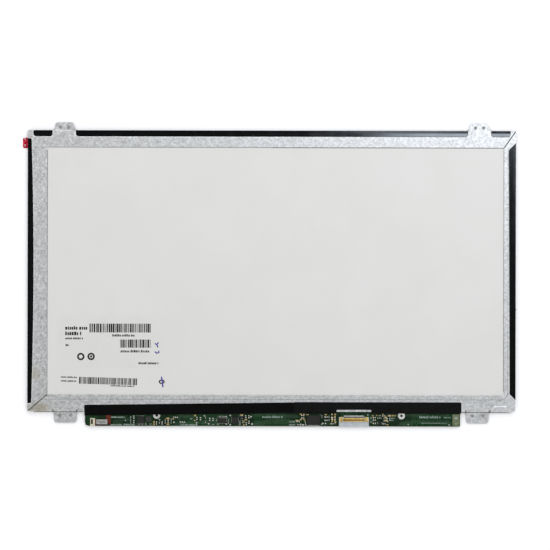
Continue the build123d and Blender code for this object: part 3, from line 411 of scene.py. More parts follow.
metal = {"Metallic": 1.0}
tapeTooth = dict(patch=260, grain=3800, rough=(0.5, 0.7), bump=0.010, shader={"Specular IOR Level": 0.08})
flexTooth = dict(patch=320, grain=2600, rough=(0.3, 0.45), bump=0.004)
finishSet = dict(
    # black plastics, tape, paper and sheets
    blackMould=dict(
        on="mould_frame", dark=(3, 3, 3), light=(6, 6, 6), patch=50, grain=2600, rough=(0.12, 0.18),
        bump=0.002, shader={"IOR": 1.86, "Specular Tint": (0.90, 0.96, 1.0, 1)},
    ),
    blackTape=dict(
        tapeTooth, on="rear_tape_left front_cover_tape glass_rim_tape", dark=(3, 3, 3), light=(7, 7, 6),
    ),
    dullTape=dict(tapeTooth, on="rear_tape_right", dark=(13, 13, 13), light=(20, 20, 20)),
    whiteReflector=dict(
        on="reflector_sheet", dark=(230, 229, 225), light=(233, 232, 229), patch=22, grain=1500,
        rough=(0.42, 0.55), bump=0.002,
    ),
    labelPaper=dict(
        on="rear_label", dark=(229, 229, 224), light=(232, 232, 228), patch=70, grain=3000,
        rough=(0.35, 0.5), bump=0.003,
    ),
    stickerPaper=dict(
        on="board_sticker", dark=(150, 152, 148), light=(188, 190, 186), patch=700, grain=4000,
        rough=(0.5, 0.7), bump=0.006,
    ),
    # metals, ceramics and small plastics
    tinnedCopper=dict(
        on="ground_rings connector_contacts", dark=(222, 222, 218), light=(246, 246, 242), patch=900,
        grain=2600, rough=(0.48, 0.64), bump=0.006, shader=metal,
    ),
    goldPlate=dict(
        on="", dark=(206, 176, 104), light=(242, 222, 164), patch=600, grain=2600, rough=(0.46, 0.62),
        bump=0.004, shader=metal,
    ),
    goldShell=dict(
        on="connector_shell", dark=(216, 172, 78), light=(251, 230, 152), patch=420, grain=2600,
        rough=(0.42, 0.58), bump=0.004, shader=metal,
    ),
    connectorPlastic=dict(
        on="connector_housing", dark=(182, 190, 196), light=(202, 209, 214), patch=300, grain=3200,
        rough=(0.35, 0.5), bump=0.004,
    ),
    socketPlastic=dict(
        on="backlight_socket", dark=(206, 203, 176), light=(222, 219, 196), patch=400, grain=3200,
        rough=(0.4, 0.55), bump=0.005,
    ),
    chipEpoxy=dict(
        on="timing_controller backlight_driver_chip bias_voltage_chip level_shifter_chip regulator_chip "
        "memory_chip driver_chip_1 driver_chip_2 driver_chip_3 driver_chip_4",
        dark=(15, 16, 13), light=(26, 27, 22), patch=500, grain=5200, rough=(0.5, 0.68), bump=0.008,
    ),
    ferrite=dict(
        on="power_inductor", dark=(38, 39, 38), light=(54, 55, 53), patch=900, grain=4200,
        rough=(0.55, 0.75), bump=0.012,
    ),
    capacitorCeramic=dict(
        on="chip_capacitors", dark=(66, 56, 40), light=(98, 82, 58), patch=300, grain=4200,
        rough=(0.4, 0.55), bump=0.004,
    ),
    resistorCeramic=dict(
        on="chip_resistors", dark=(16, 16, 17), light=(30, 30, 31), patch=600, grain=4200,
        rough=(0.35, 0.5), bump=0.004,
    ),
    amberFlex=dict(flexTooth, on="backlight_flex", dark=(66, 20, 12), light=(112, 44, 26)),
    # partly painted shade: the film's own amber, darkened so the holes of the ground rings look dark
    driverFilm=dict(
        flexTooth, on="driver_film_1 driver_film_2 driver_film_3 driver_film_4", dark=(26, 14, 9),
        light=(44, 24, 15),
    ),
    # optical layers, seen from the screen side and at the edges
    clearFilm=dict(
        on="protective_film", dark=(236, 240, 244), light=(244, 247, 250), patch=30, grain=900,
        rough=(0.06, 0.16), bump=0.002, shader={"Transmission Weight": 1.0, "IOR": 1.5},
    ),
    polarizer=dict(
        on="front_polarizer rear_polarizer", dark=(10, 10, 12), light=(15, 15, 18), patch=40, grain=5200,
        rough=(0.24, 0.32), bump=0.003,
    ),
    panelGlass=dict(
        on="color_filter_glass array_glass", dark=(214, 226, 222), light=(222, 232, 229), patch=30,
        grain=600, rough=(0.02, 0.06), bump=0.001, shader={"Transmission Weight": 1.0, "IOR": 1.52},
    ),
    opticalSheet=dict(
        on="upper_prism_sheet lower_prism_sheet diffuser_sheet", dark=(220, 221, 222),
        light=(230, 231, 232), patch=60, grain=2400, rough=(0.35, 0.5), bump=0.004,
    ),
    lightGuide=dict(
        on="light_guide", dark=(226, 232, 234), light=(234, 238, 240), patch=40, grain=900,
        rough=(0.05, 0.12), bump=0.002, shader={"Transmission Weight": 1.0, "IOR": 1.49},
    ),
    ledPackage=dict(
        on="backlight_leds", dark=(226, 214, 150), light=(240, 232, 188), patch=900, grain=3000,
        rough=(0.35, 0.5), bump=0.005,
    ),
    # deeper red and pinker patches; the pinker patches are painted highlights on the film's crinkles
    redFilm=dict(
        on="film_pull_tab", dark=(170, 0, 22), light=(232, 52, 88), patch=520, spread=0.14, grain=620,
        rough=(0.2, 0.36), bump=0.16,
    ),
)
coats = {}
for finishName, finishLook in finishSet.items():
    coats[finishName] = plainFinish(finishName, finishLook)
    dress(finishLook["on"], coats[finishName])
tin, gold = coats["tinnedCopper"], coats["goldPlate"]
print("materials dressed on", len(cad), "nodes")


# Geometry Nodes trees for what repeats and what follows a line

def newTree(name, inputs):
    tree = bpy.data.node_groups.new(name, "GeometryNodeTree")
    keys = {}
    for label, kind in dict(Geometry="Geometry", **inputs).items():
        socket = tree.interface.new_socket(label, in_out="INPUT", socket_type="NodeSocket" + kind)
        keys[label] = socket.identifier
    tree.interface.new_socket("Geometry", in_out="OUTPUT", socket_type="NodeSocketGeometry")
    return tree, addNode(tree, "NodeGroupInput").outputs, addNode(tree, "NodeGroupOutput"), keys


def closeTree(tree, shape, finish, result):
    real = addNode(tree, "GeometryNodeRealizeInstances", {0: shape})
    coat = addNode(tree, "GeometryNodeSetMaterial", {"Geometry": real.outputs[0], "Material": finish})
    feedAll(tree, result, {0: coat.outputs[0]})


def makePlaceTree():  # a pattern at each point, sized and turned by the point's own values
    inputs = dict(Pattern="Object", Height="Float", Finish="Material")
    tree, given, result, keys = newTree("placeAtPoints", inputs)
    pattern = addNode(tree, "GeometryNodeObjectInfo", {"Object": given["Pattern"]})
    size, turn = [
        addNode(tree, "GeometryNodeInputNamedAttribute", {"Name": label}, data_type="FLOAT_VECTOR")
        for label in ("size", "turn")
    ]
    tall = addNode(tree, "ShaderNodeCombineXYZ", {"X": 1.0, "Y": 1.0, "Z": given["Height"]})
    sizes = {0: size.outputs[0], 1: tall.outputs[0]}
    scale = addNode(tree, "ShaderNodeVectorMath", sizes, operation="MULTIPLY")
    spin = addNode(tree, "FunctionNodeEulerToRotation", {0: turn.outputs[0]})
    copies = addNode(tree, "GeometryNodeInstanceOnPoints", {
        "Points": given["Geometry"], "Instance": pattern.outputs["Geometry"],
        "Rotation": spin.outputs[0], "Scale": scale.outputs[0],
    })
    closeTree(tree, copies.outputs[0], given["Finish"], result)
    return tree, keys


def makeStripTree():  # a flat strip along each line
    inputs = dict(Width="Float", Height="Float", Finish="Material")
    tree, given, result, keys = newTree("stripAlongLines", inputs)
    curve = addNode(tree, "GeometryNodeMeshToCurve", {0: given["Geometry"]})
    flat = addNode(tree, "GeometryNodeSetCurveNormal", {0: curve.outputs[0]}, mode="Z_UP")
    sides = {label: given[label] for label in ("Width", "Height")}
    profile = addNode(tree, "GeometryNodeCurvePrimitiveQuadrilateral", sides)
    sweep = addNode(tree, "GeometryNodeCurveToMesh", {
        "Curve": flat.outputs[0], "Profile Curve": profile.outputs[0], "Fill Caps": True,
    })
    closeTree(tree, sweep.outputs[0], given["Finish"], result)
    return tree, keys


placeTree, placeKeys = makePlaceTree()
stripTree, stripKeys = makeStripTree()


def settle(piece, slotName, *replaced):
    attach(piece, "root")
    if replaced:
        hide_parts(*replaced)
    return piece


def grow(name, mesh, tree, keys, values, slotName, *replaced):
    source = bpy.data.objects.new(name + "Source", mesh)
    scene.collection.objects.link(source)
    modifier = source.modifiers.new("grow", "NODES")
    modifier.node_group = tree
    for label, value in values.items():
        modifier[keys[label]] = value
    shape = bpy.data.meshes.new_from_object(source.evaluated_get(bpy.context.evaluated_depsgraph_get()))
    bpy.data.objects.remove(source)
    shape.name = name
    for label in ("size", "turn"):
        if label in shape.attributes:
            shape.attributes.remove(shape.attributes[label])
    piece = bpy.data.objects.new(name, shape)
    scene.collection.objects.link(piece)
    return settle(piece, slotName, *replaced)


# place: x, y, z, length, width, height, turn
def placeAll(name, places, pattern, height, finish, slotName, *replaced):
    mesh = bpy.data.meshes.new(name + "Points")
    mesh.from_pydata([place[:3] for place in places], [], [])
    sizes = mesh.attributes.new("size", "FLOAT_VECTOR", "POINT")
    turns = mesh.attributes.new("turn", "FLOAT_VECTOR", "POINT")
    for index, place in enumerate(places):
        sizes.data[index].vector = place[3:6]
        turns.data[index].vector = (0, 0, math.radians(place[6]))
    return grow(
        name, mesh, placeTree, placeKeys, {"Pattern": patterns[pattern], "Height": height, "Finish": finish},
        slotName, *replaced,
    )


def drawLines(name, lines, width, height, finish, slotName):  # line: points of one stroke
    mesh = bpy.data.meshes.new(name + "Lines")
    points, edges = [], []
    for line in lines:
        edges += [(len(points) + i, len(points) + i + 1) for i in range(len(line) - 1)]
        points += [(x, y, z + height / 2) for x, y, z in line]
    mesh.from_pydata(points, edges, [])
    return grow(
        name, mesh, stripTree, stripKeys, {"Width": width, "Height": height, "Finish": finish}, slotName,
    )


# Patterns that the trees copy, each a unit long, wide and high

def newShape(name, build):
    mesh = bpy.data.meshes.new(name)
    shape = bmesh.new()
    build(shape)
    bmesh.ops.recalc_face_normals(shape, faces=shape.faces)
    shape.to_mesh(mesh)
    shape.free()
    piece = bpy.data.objects.new(name, mesh)
    scene.collection.objects.link(piece)
    return piece


def addBlock(shape, low, high, bevel=0.0):
    corners = bmesh.ops.create_cube(shape, size=1.0)["verts"]
    for corner in corners:
        corner.co = [low[i] + (corner.co[i] + 0.5) * (high[i] - low[i]) for i in range(3)]
    if bevel:
        edges = list({edge for corner in corners for edge in corner.link_edges})
        bmesh.ops.bevel(shape, geom=edges, offset=bevel, segments=1, affect="EDGES", profile=0.5)


def roundLoops(shape, sides, steps):  # step: radius and height of one loop of corners
    turns = [2 * math.pi * i / sides for i in range(sides)]
    return [
        [shape.verts.new((radius * math.cos(turn), radius * math.sin(turn), height)) for turn in turns]
        for radius, height in steps
    ]


def joinLoops(shape, loops):
    for one, other in zip(loops, loops[1:]):
        for i in range(len(one)):
            following = (i + 1) % len(one)
            shape.faces.new((one[i], one[following], other[following], other[i]))


def skinLoops(shape, loops):  # walls between the loops, and a lid at each end
    shape.faces.new(loops[0])
    shape.faces.new(loops[-1])
    joinLoops(shape, loops)


def addRing(shape, inner, sides):
    loops = roundLoops(shape, sides, ((0.5, 0.0), (0.5, 1.0), (inner / 2, 1.0), (inner / 2, 0.0)))
    joinLoops(shape, loops + loops[:1])


def addDisc(shape, sides):
    skinLoops(shape, roundLoops(shape, sides, ((0.5, 0), (0.5, 1))))


def addPost(shape, sides):  # a round post with a soft rim
    skinLoops(shape, roundLoops(shape, sides, ((0.5, 0.0), (0.5, 0.72), (0.42, 0.93), (0.3, 1.0))))


def addWedge(shape, side):  # solder climbing the end of a part
    outline = [(0.46, 0.0), (0.68, 0.0), (0.66, 0.06), (0.56, 0.22), (0.50, 0.55), (0.46, 0.55)]
    skinLoops(shape, [[shape.verts.new((side * x, y, z)) for x, z in outline] for y in (-0.44, 0.44)])


def addLead(shape):  # a bent terminal, from the chip's side (x 0) down to its pad (x 1)
    outline = [
        (0.0, 0.55), (0.25, 0.55), (0.5, 0.0), (1.0, 0.0), (1.0, 0.3), (0.62, 0.3), (0.38, 1.0), (0.0, 1.0),
    ]
    skinLoops(shape, [[shape.verts.new((x, y, z)) for x, z in outline] for y in (-0.5, 0.5)])


def bothEnds(add):
    def build(shape):
        for side in (-1, 1):
            add(shape, side)
    return build


patternSet = dict(
    bar=lambda shape: addBlock(shape, (-0.5, -0.5, 0), (0.5, 0.5, 1)),
    pad=lambda shape: addBlock(shape, (-0.5, -0.5, 0), (0.5, 0.5, 1), 0.06),
    body=lambda shape: addBlock(shape, (-0.30, -0.48, 0.03), (0.30, 0.48, 0.97), 0.04),
    end=bothEnds(lambda shape, side: addBlock(shape, (0.25 * side, -0.5, 0), (0.5 * side, 0.5, 1), 0.05)),
    land=bothEnds(lambda shape, side: addBlock(shape, (0.32 * side, -0.52, 0), (0.68 * side, 0.52, 1), 0.02)),
    solder=bothEnds(addWedge),
    ring=lambda shape: addRing(shape, 0.52, 28),
    via=lambda shape: addRing(shape, 0.45, 12),
    dot=lambda shape: addDisc(shape, 20),
    lead=addLead,
    post=lambda shape: addPost(shape, 24),
)
patterns = {name: newShape(name + "Pattern", build) for name, build in patternSet.items()}

# Print on the label and on the sheet below it: plain bars, greeked rows and rings

inkLook = dict(dark=(6, 6, 7), light=(18, 18, 19), patch=900, grain=4000, rough=(0.45, 0.6), bump=0.002)
penLook = dict(dark=(36, 24, 140), light=(66, 54, 176), patch=500, grain=3000, rough=(0.4, 0.55), bump=0.002)
legendLook = dict(
    dark=(118, 138, 128), light=(164, 180, 170), patch=900, grain=4000, rough=(0.5, 0.65), bump=0.003,
)
ink, penInk = plainFinish("blackPrint", inkLook), plainFinish("blueInk", penLook)
legendInk = plainFinish("whitePrint", legendLook)
inkHeight = 0.012 * mm

labelArt = dict(
    # from the label's upper left: x, y, width, height, finest bar
    bars=[(23.5, 5.1, 45.3, 6.5, 0.30), (46.1, 16.8, 22.6, 6.0, 0.34)],
    rows=[
        (5.6, 7.0, 16.2, 2.6), (5.6, 11.0, 12.0, 2.7), (5.6, 15.2, 13.4, 1.5), (5.9, 20.1, 2.5, 1.6),
        (40.3, 12.9, 16.4, 1.7), (46.4, 24.5, 21.8, 1.8), (59.6, 33.3, 14.6, 1.7),
    ],
    rings=[(17.1, 29.4), (24.7, 29.3)], ringSize=5.5, dotSize=1.7, seed=11,
)
sheetArt = dict(
    corner=(-154.9, -77.5), turn=-1.5,  # the strip's upper left on the sheet
    bars=[(13.3, 0.3, 42.8, 5.0, 0.26)],
    rows=[(0.0, 0.1, 11.6, 1.2), (0.0, 2.9, 11.2, 1.2), (36.5, 5.6, 18.0, 1.0)], seed=5,
)


# bars and gaps count in finest bars, the blocks of small print in heights of their row
barSet = dict(bars=(1, 2, 2, 3, 4), gaps=(1, 1, 1, 2, 2))
blockSet = dict(
    least=0.2, width=(0.3, 0.62), tall=(0.78, 0.78, 0.9, 1.0), gap=(0.12, 0.2), word=6, wordGap=0.5,
)


def barRow(x, y, width, height, finest, chance):
    marks, reach = [], 0.0
    while reach < width - finest:
        bar = min(chance.choice(barSet["bars"]) * finest, width - reach)
        marks.append((x + reach + bar / 2, y + height / 2, bar, height))
        reach += bar + chance.choice(barSet["gaps"]) * finest
    return marks


def greekRow(x, y, width, height, chance):  # short blocks that stand for a line of small print
    marks, reach, word = [], 0.0, 0
    while reach < width - blockSet["least"] * height:
        block = min(chance.uniform(*blockSet["width"]) * height, width - reach)
        tall = height * chance.choice(blockSet["tall"])
        marks.append((x + reach + block / 2, y + height - tall / 2, block, tall))
        word += 1
        ended = word % blockSet["word"] == 0
        reach += block + height * (blockSet["wordGap"] if ended else chance.uniform(*blockSet["gap"]))
    return marks


def printMarks(name, art, corner, level, turn):
    chance = random.Random(art["seed"])
    marks = [mark for row in art["bars"] for mark in barRow(*row, chance)]
    marks += [mark for row in art["rows"] for mark in greekRow(*row, chance)]
    cosine, sine = math.cos(math.radians(turn)), math.sin(math.radians(turn))
    places = []
    for x, y, width, height in marks:  # y counts down from the corner
        at = (corner[0] + (x * cosine + y * sine) * mm, corner[1] + (x * sine - y * cosine) * mm, level)
        places.append((*at, width * mm, height * mm, 1.0, turn))
    return placeAll(name, places, "bar", inkHeight, ink, "black_print")


labelLow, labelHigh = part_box("rear_label")
labelCorner = (labelLow.x, labelHigh.y)
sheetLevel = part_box("reflector_sheet")[1].z
printMarks("label_print", labelArt, labelCorner, labelHigh.z, 0.0)
printMarks(
    "sheet_print", sheetArt, [value * mm for value in sheetArt["corner"]], sheetLevel, sheetArt["turn"],
)
ringSpots = [(labelCorner[0] + x * mm, labelCorner[1] - y * mm, labelHigh.z) for x, y in labelArt["rings"]]
ringSize, dotSize = labelArt["ringSize"] * mm, labelArt["dotSize"] * mm
placeAll(
    "label_rings", [(*spot, ringSize, ringSize, 1.0, 0) for spot in ringSpots], "ring", inkHeight, ink,
    "black_print",
)
placeAll("label_dots", [(*ringSpots[1], dotSize, dotSize, 1.0, 0)], "dot", inkHeight, ink, "black_print")

penArt = dict(
    width=0.95 * mm,
    label=[
        [(71.6, 19.6), (73.0, 20.4), (74.3, 18.9)], [(73.2, 20.6), (73.9, 22.6)],
        [(71.6, 25.6), (73.0, 26.8), (74.6, 26.4), (74.4, 24.9)],
    ],
    sheet=[[(-81.0, -77.9), (-80.5, -81.6), (-79.9, -85.6)]], ring=(-80.8, -81.6), ringSize=(4.4, 3.4),
)
labelStrokes = [
    [(labelCorner[0] + x * mm, labelCorner[1] - y * mm, labelHigh.z) for x, y in line]
    for line in penArt["label"]
]
sheetStrokes = [[(x * mm, y * mm, sheetLevel + inkHeight) for x, y in line] for line in penArt["sheet"]]
drawLines("pen_marks", labelStrokes + sheetStrokes, penArt["width"], inkHeight, penInk, "blue_ink")
penRing = (
    *[value * mm for value in penArt["ring"]], sheetLevel, *[value * mm for value in penArt["ringSize"]],
    1.0, 0,
)
placeAll("pen_ring", [penRing], "ring", inkHeight, ink, "black_print")
print("label and sheet print laid down")

# Board: parts with metal ends, lands, solder, leads, traces, vias and legend

boardLow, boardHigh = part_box("circuit_board")
boardTop = boardHigh.z


def boardSpot(along, edge, lift=0.0):  # from the board's left end and outer edge, in mm
    return (boardLow.x + along * mm, boardLow.y + edge * mm, boardTop + lift)


def boardPlaces(rows, lift=0.0):  # row: along, edge, length, width
    return [(*boardSpot(a, e, lift), l * mm, w * mm, 1.0, 0) for a, e, l, w in rows]


weld = 0.001 * mm  # corners nearer than this are one


def islandBoxes(name):
    shape = bmesh.new()
    shape.from_mesh(cad[name].data)
    bmesh.ops.remove_doubles(shape, verts=shape.verts, dist=weld)
    boxes, left = [], set(shape.verts)
    while left:
        island, waiting = [], [left.pop()]
        while waiting:
            corner = waiting.pop()
            island.append(corner.co.copy())
            for edge in corner.link_edges:
                other = edge.other_vert(corner)
                if other in left:
                    left.remove(other)
                    waiting.append(other)
        boxes.append([Vector(pick(co[i] for co in island) for i in range(3)) for pick in (min, max)])
    shape.free()
    return sorted(boxes, key=lambda box: (box[0].x, box[0].y))


def partPlaces(name):
    places = []
    for low, high in islandBoxes(name):
        middle, span = (low + high) / 2, high - low
        turn = 0 if span.x > span.y else 90
        places.append((middle.x, middle.y, low.z, max(span.x, span.y), min(span.x, span.y), span.z, turn))
    return places


partSet = dict(landHeight=0.025 * mm, solderHeight=0.9)
capacitors, resistors = partPlaces("chip_capacitors"), partPlaces("chip_resistors")
tanCeramic = coats["capacitorCeramic"]
darkCeramic = coats["resistorCeramic"]
placeAll("capacitor_bodies", capacitors, "body", 1.0, tanCeramic, "capacitor_ceramic", "chip_capacitors")
placeAll("resistor_bodies", resistors, "body", 1.0, darkCeramic, "resistor_ceramic", "chip_resistors")
everyPart = capacitors + resistors
placeAll("part_ends", everyPart, "end", 1.0, tin, "tinned_copper")
placeAll("part_solder", everyPart, "solder", partSet["solderHeight"], tin, "tinned_copper")
placeAll(
    "part_lands", [(*place[:5], 1.0, place[6]) for place in everyPart], "land", partSet["landHeight"],
    gold, "gold_plate",
)

chipSet = dict(  # pitch and size of the terminals, and the sides they stand on
    timing_controller=dict(sides="S", pitch=0.8, width=0.4, length=0.8, height=0.28),
    backlight_driver_chip=dict(sides="NS", pitch=0.65, width=0.26, length=0.3, height=0.16),
    bias_voltage_chip=dict(sides="NS", pitch=0.65, width=0.28, length=0.42, height=0.24),
    level_shifter_chip=dict(sides="EW", pitch=0.65, width=0.26, length=0.3, height=0.16),
    regulator_chip=dict(sides="NS", pitch=0.95, width=0.4, length=0.5, height=0.3),
    memory_chip=dict(sides="EW", pitch=0.5, width=0.26, length=0.45, height=0.24),
)


chipEnds = 0.6  # mm of a chip's side without terminals


def chipLeads(name, look):
    low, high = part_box(name)
    middle, span = (low + high) / 2, high - low
    places = []
    for side in look["sides"]:
        run = span.x if side in "NS" else span.y
        count = int((run / mm - chipEnds) / look["pitch"])
        for i in range(count):
            shift = (i - (count - 1) / 2) * look["pitch"] * mm
            along, across = middle.x + shift, middle.y + shift
            at, turn = {
                "N": ((along, high.y), 90), "S": ((along, low.y), -90),
                "E": ((high.x, across), 0), "W": ((low.x, across), 180),
            }[side]
            places.append((*at, boardTop, look["length"] * mm, look["width"] * mm, look["height"] * mm, turn))
    return places


leads = [place for name, look in chipSet.items() for place in chipLeads(name, look)]
placeAll("chip_leads", leads, "lead", 1.0, tin, "tinned_copper")

pinSet = dict(inset=0.2, diameter=0.14, height=0.01 * mm)  # the first two as a share of the chip's short side


def pinMarks(names, look):  # a round dimple by each chip's first terminal
    places = []
    for name in names:
        low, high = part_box(name)
        short = min(high.x - low.x, high.y - low.y)
        step, size = look["inset"] * short, look["diameter"] * short
        places.append((low.x + step, low.y + step, high.z, size, size, 1.0, 0))
    return places


dimpleLook = dict(dark=(40, 40, 37), light=(56, 56, 52), patch=900, grain=5200, rough=(0.35, 0.5), bump=0.004)
dimple = plainFinish("chipMark", dimpleLook)
placeAll("chip_pin_marks", pinMarks(chipSet, pinSet), "dot", pinSet["height"], dimple, "chip_black")

padArt = dict(
    height=0.03 * mm,
    gold=[  # along, edge, length, width
        (221.6, 6.6, 1.5, 1.2), (221.6, 4.5, 1.5, 1.2), (223.7, 7.9, 1.0, 0.9), (225.3, 7.9, 1.0, 0.9),
        (227.0, 8.0, 1.0, 0.9), (228.6, 8.0, 1.0, 0.9),
        (223.1, 3.6, 0.9, 0.8), (223.0, 1.3, 1.2, 0.7), (50.9, 3.0, 1.1, 1.2), (50.9, 1.3, 1.1, 1.2),
        (61.2, 5.6, 2.0, 1.2), (61.2, 1.3, 1.9, 1.0),
        (65.1, 5.2, 1.0, 0.8), (81.2, 7.8, 1.3, 1.1), (80.9, 4.2, 0.9, 0.9), (115.4, 8.2, 2.4, 0.8),
        (118.5, 4.7, 2.0, 0.8), (117.0, 3.2, 1.0, 1.0), (117.1, 0.9, 1.0, 0.9),
        (159.1, 8.9, 1.3, 0.8), (161.4, 8.9, 1.3, 0.8), (159.1, 4.9, 1.4, 0.9), (161.6, 4.9, 1.4, 0.9),
        (156.4, 4.3, 2.3, 0.8), (164.2, 8.6, 1.5, 0.5),
        (182.1, 8.9, 1.1, 1.0), (184.4, 8.9, 1.1, 1.0), (182.1, 3.6, 1.0, 0.8), (184.6, 3.3, 1.3, 1.1),
        (177.6, 8.6, 1.4, 0.8),
        (212.2, 7.9, 1.2, 0.7), (215.0, 8.1, 1.0, 0.8), (219.7, 9.0, 1.2, 0.6), (182.3, 5.7, 1.1, 2.6),
        (184.3, 5.4, 0.9, 5.0),
    ],
    dots=[  # tinned test points: along, edge, diameter
        (55.0, 4.6, 0.9), (65.7, 2.8, 1.0), (82.3, 2.4, 1.0), (82.3, 0.9, 0.9), (88.0, 7.6, 1.0),
        (91.2, 1.7, 1.0), (104.2, 7.0, 1.1), (104.2, 5.4, 1.0), (104.2, 3.7, 1.1),
        (104.2, 1.6, 1.1), (107.0, 8.0, 0.9), (107.0, 1.0, 1.0), (122.4, 6.9, 1.1), (123.2, 1.6, 1.3),
        (157.0, 1.1, 0.9), (159.2, 1.0, 1.1), (161.0, 1.0, 1.1), (163.0, 0.9, 0.8),
        (175.4, 2.2, 1.0), (177.3, 2.2, 0.9), (208.5, 8.5, 0.9), (94.6, 1.2, 0.8), (98.0, 1.4, 0.8),
        (238.2, 1.5, 0.8), (268.4, 1.2, 0.9), (12.2, 1.0, 0.8), (29.8, 4.2, 0.8),
    ],
)
dotRows = [(along, edge, diameter, diameter) for along, edge, diameter in padArt["dots"]]
placeAll("test_pads", boardPlaces(padArt["gold"]), "pad", padArt["height"], gold, "gold_plate")
placeAll("test_dots", boardPlaces(dotRows), "dot", padArt["height"], tin, "tinned_copper")

# bundles of lines under the lacquer: start, end, lowest edge, count, pitch, jogs of (along, step)
traceArt = dict(
    width=0.22 * mm, height=0.02 * mm, stagger=0.35,
    bundles=[
        (20.0, 34.0, 2.0, 5, 0.55, [(26.0, 1.6)]), (66.0, 100.0, 0.6, 4, 0.5, [(74.0, 1.2), (90.0, -0.9)]),
        (68.0, 82.0, 6.9, 4, 0.5, [(72.0, -0.8)]),
        (86.0, 103.0, 2.0, 5, 0.5, [(93.0, 1.1)]),
        (123.0, 160.0, 0.8, 6, 0.55, [(132.0, 1.5), (150.0, -0.8)]),
        (121.5, 158.0, 7.3, 4, 0.55, [(141.0, -0.8)]),
        (174.5, 184.0, 0.6, 4, 0.5, [(178.0, 0.7)]),
        (230.5, 270.0, 0.9, 5, 0.6, [(240.0, 1.3), (262.0, -0.6)]),
        (231.0, 269.5, 7.6, 3, 0.6, [(251.0, -0.7)]),
    ],
)


def traceLines(art):
    lines = []
    for start, end, edge, count, pitch, jogs in art["bundles"]:
        for i in range(count):
            at = edge + i * pitch
            points = [(start + art["stagger"] * i, at)]
            for along, step in jogs:  # each jog runs at 45 degrees
                points += [(along, at), (along + abs(step), at + step)]
                at += step
            points.append((end - art["stagger"] * i, at))
            lines.append([boardSpot(*point) for point in points])
    return lines


traceLook = dict(maskLook, bare=(30, 66, 38), copper=(40, 80, 46))
raisedLacquer = solderMask("lacquerOverCopper", traceLook)
drawLines(
    "board_traces", traceLines(traceArt), traceArt["width"], traceArt["height"], raisedLacquer,
    "board_green",
)

viaArt = dict(
    tries=420, diameter=0.6 * mm, height=0.022 * mm, seed=23, clearance=0.4 * mm,
    left=2 * mm, right=8 * mm, edges=(0.7, 9.2), apart=2,  # free ends of the board, and room in diameters
)


def viaPlaces(art):
    chance = random.Random(art["seed"])
    closed = [
        box
        for name in ("chip_capacitors", "chip_resistors", "ground_rings")
        for box in islandBoxes(name)
    ]
    closed += [
        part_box(name)
        for name in (*chipSet, "power_inductor", "connector_housing", "backlight_socket", "board_sticker")
    ]
    for a, e, l, w in padArt["gold"] + dotRows:
        closed.append((Vector(boardSpot(a - l / 2, e - w / 2)), Vector(boardSpot(a + l / 2, e + w / 2))))
    places, room = [], art["clearance"] + art["diameter"] / 2
    for attempt in range(art["tries"]):
        x = chance.uniform(boardLow.x + art["left"], boardHigh.x - art["right"])
        y = boardLow.y + chance.uniform(*art["edges"]) * mm
        if any(low.x - room < x < high.x + room and low.y - room < y < high.y + room for low, high in closed):
            continue
        apart = art["apart"] * art["diameter"]
        if all(math.hypot(x - other[0], y - other[1]) > apart for other in places):
            places.append((x, y, boardTop, art["diameter"], art["diameter"], 1.0, 0))
    return places


placeAll("board_vias", viaPlaces(viaArt), "via", viaArt["height"], raisedLacquer, "board_green")

legendArt = dict(
    height=0.015 * mm, line=0.16 * mm, seed=17,
    rows=[  # greeked lines of the legend: along, upper edge, width, height
        (19.4, 7.1, 10.6, 1.2), (18.9, 1.5, 8.2, 1.1), (28.6, 1.7, 8.4, 1.3), (70.5, 3.0, 4.4, 1.0),
        (70.5, 1.7, 11.0, 1.4), (77.6, 5.9, 1.6, 1.0),
        (130.7, 7.8, 15.2, 1.7), (150.6, 4.2, 4.5, 1.4), (150.5, 1.8, 4.7, 1.2), (224.3, 6.6, 4.3, 1.0),
        (224.3, 5.0, 3.6, 0.9),
        (246.5, 7.9, 15.6, 1.8), (264.2, 7.1, 5.6, 0.8), (247.7, 2.9, 19.0, 0.6),
    ],
    arrows=[(36.2, 5.0), (69.4, 5.5)], arrow=[(0.5, 1.1), (-0.3, 0.0), (0.5, -1.1)],
    frames=["timing_controller", "bias_voltage_chip", "level_shifter_chip", "backlight_driver_chip"],
    frameGap=0.75 * mm, frameArm=0.9 * mm,
)


def legendLines(art):
    lines = []
    for name in art["frames"]:  # a short corner mark outside each corner of a chip
        low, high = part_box(name)
        for x, inX in ((low.x - art["frameGap"], 1), (high.x + art["frameGap"], -1)):
            for y, inY in ((low.y - art["frameGap"], 1), (high.y + art["frameGap"], -1)):
                arm = art["frameArm"]
                lines.append([(x + inX * arm, y, boardTop), (x, y, boardTop), (x, y + inY * arm, boardTop)])
    for along, edge in art["arrows"]:
        lines.append([boardSpot(along + x, edge + y) for x, y in art["arrow"]])
    return lines


drawLines(
    "legend_lines", legendLines(legendArt), legendArt["line"], legendArt["height"], legendInk,
    "white_print",
)
chance = random.Random(legendArt["seed"])
legendMarks = [
    mark
    for along, edge, width, height in legendArt["rows"]
    for mark in greekRow(along, -edge, width, height, chance)
]
legendPlaces = boardPlaces([(along, -edge, width, height) for along, edge, width, height in legendMarks])
placeAll("legend_rows", legendPlaces, "bar", legendArt["height"], legendInk, "white_print")

# Bare laminate at the board's right end, with its odd marks

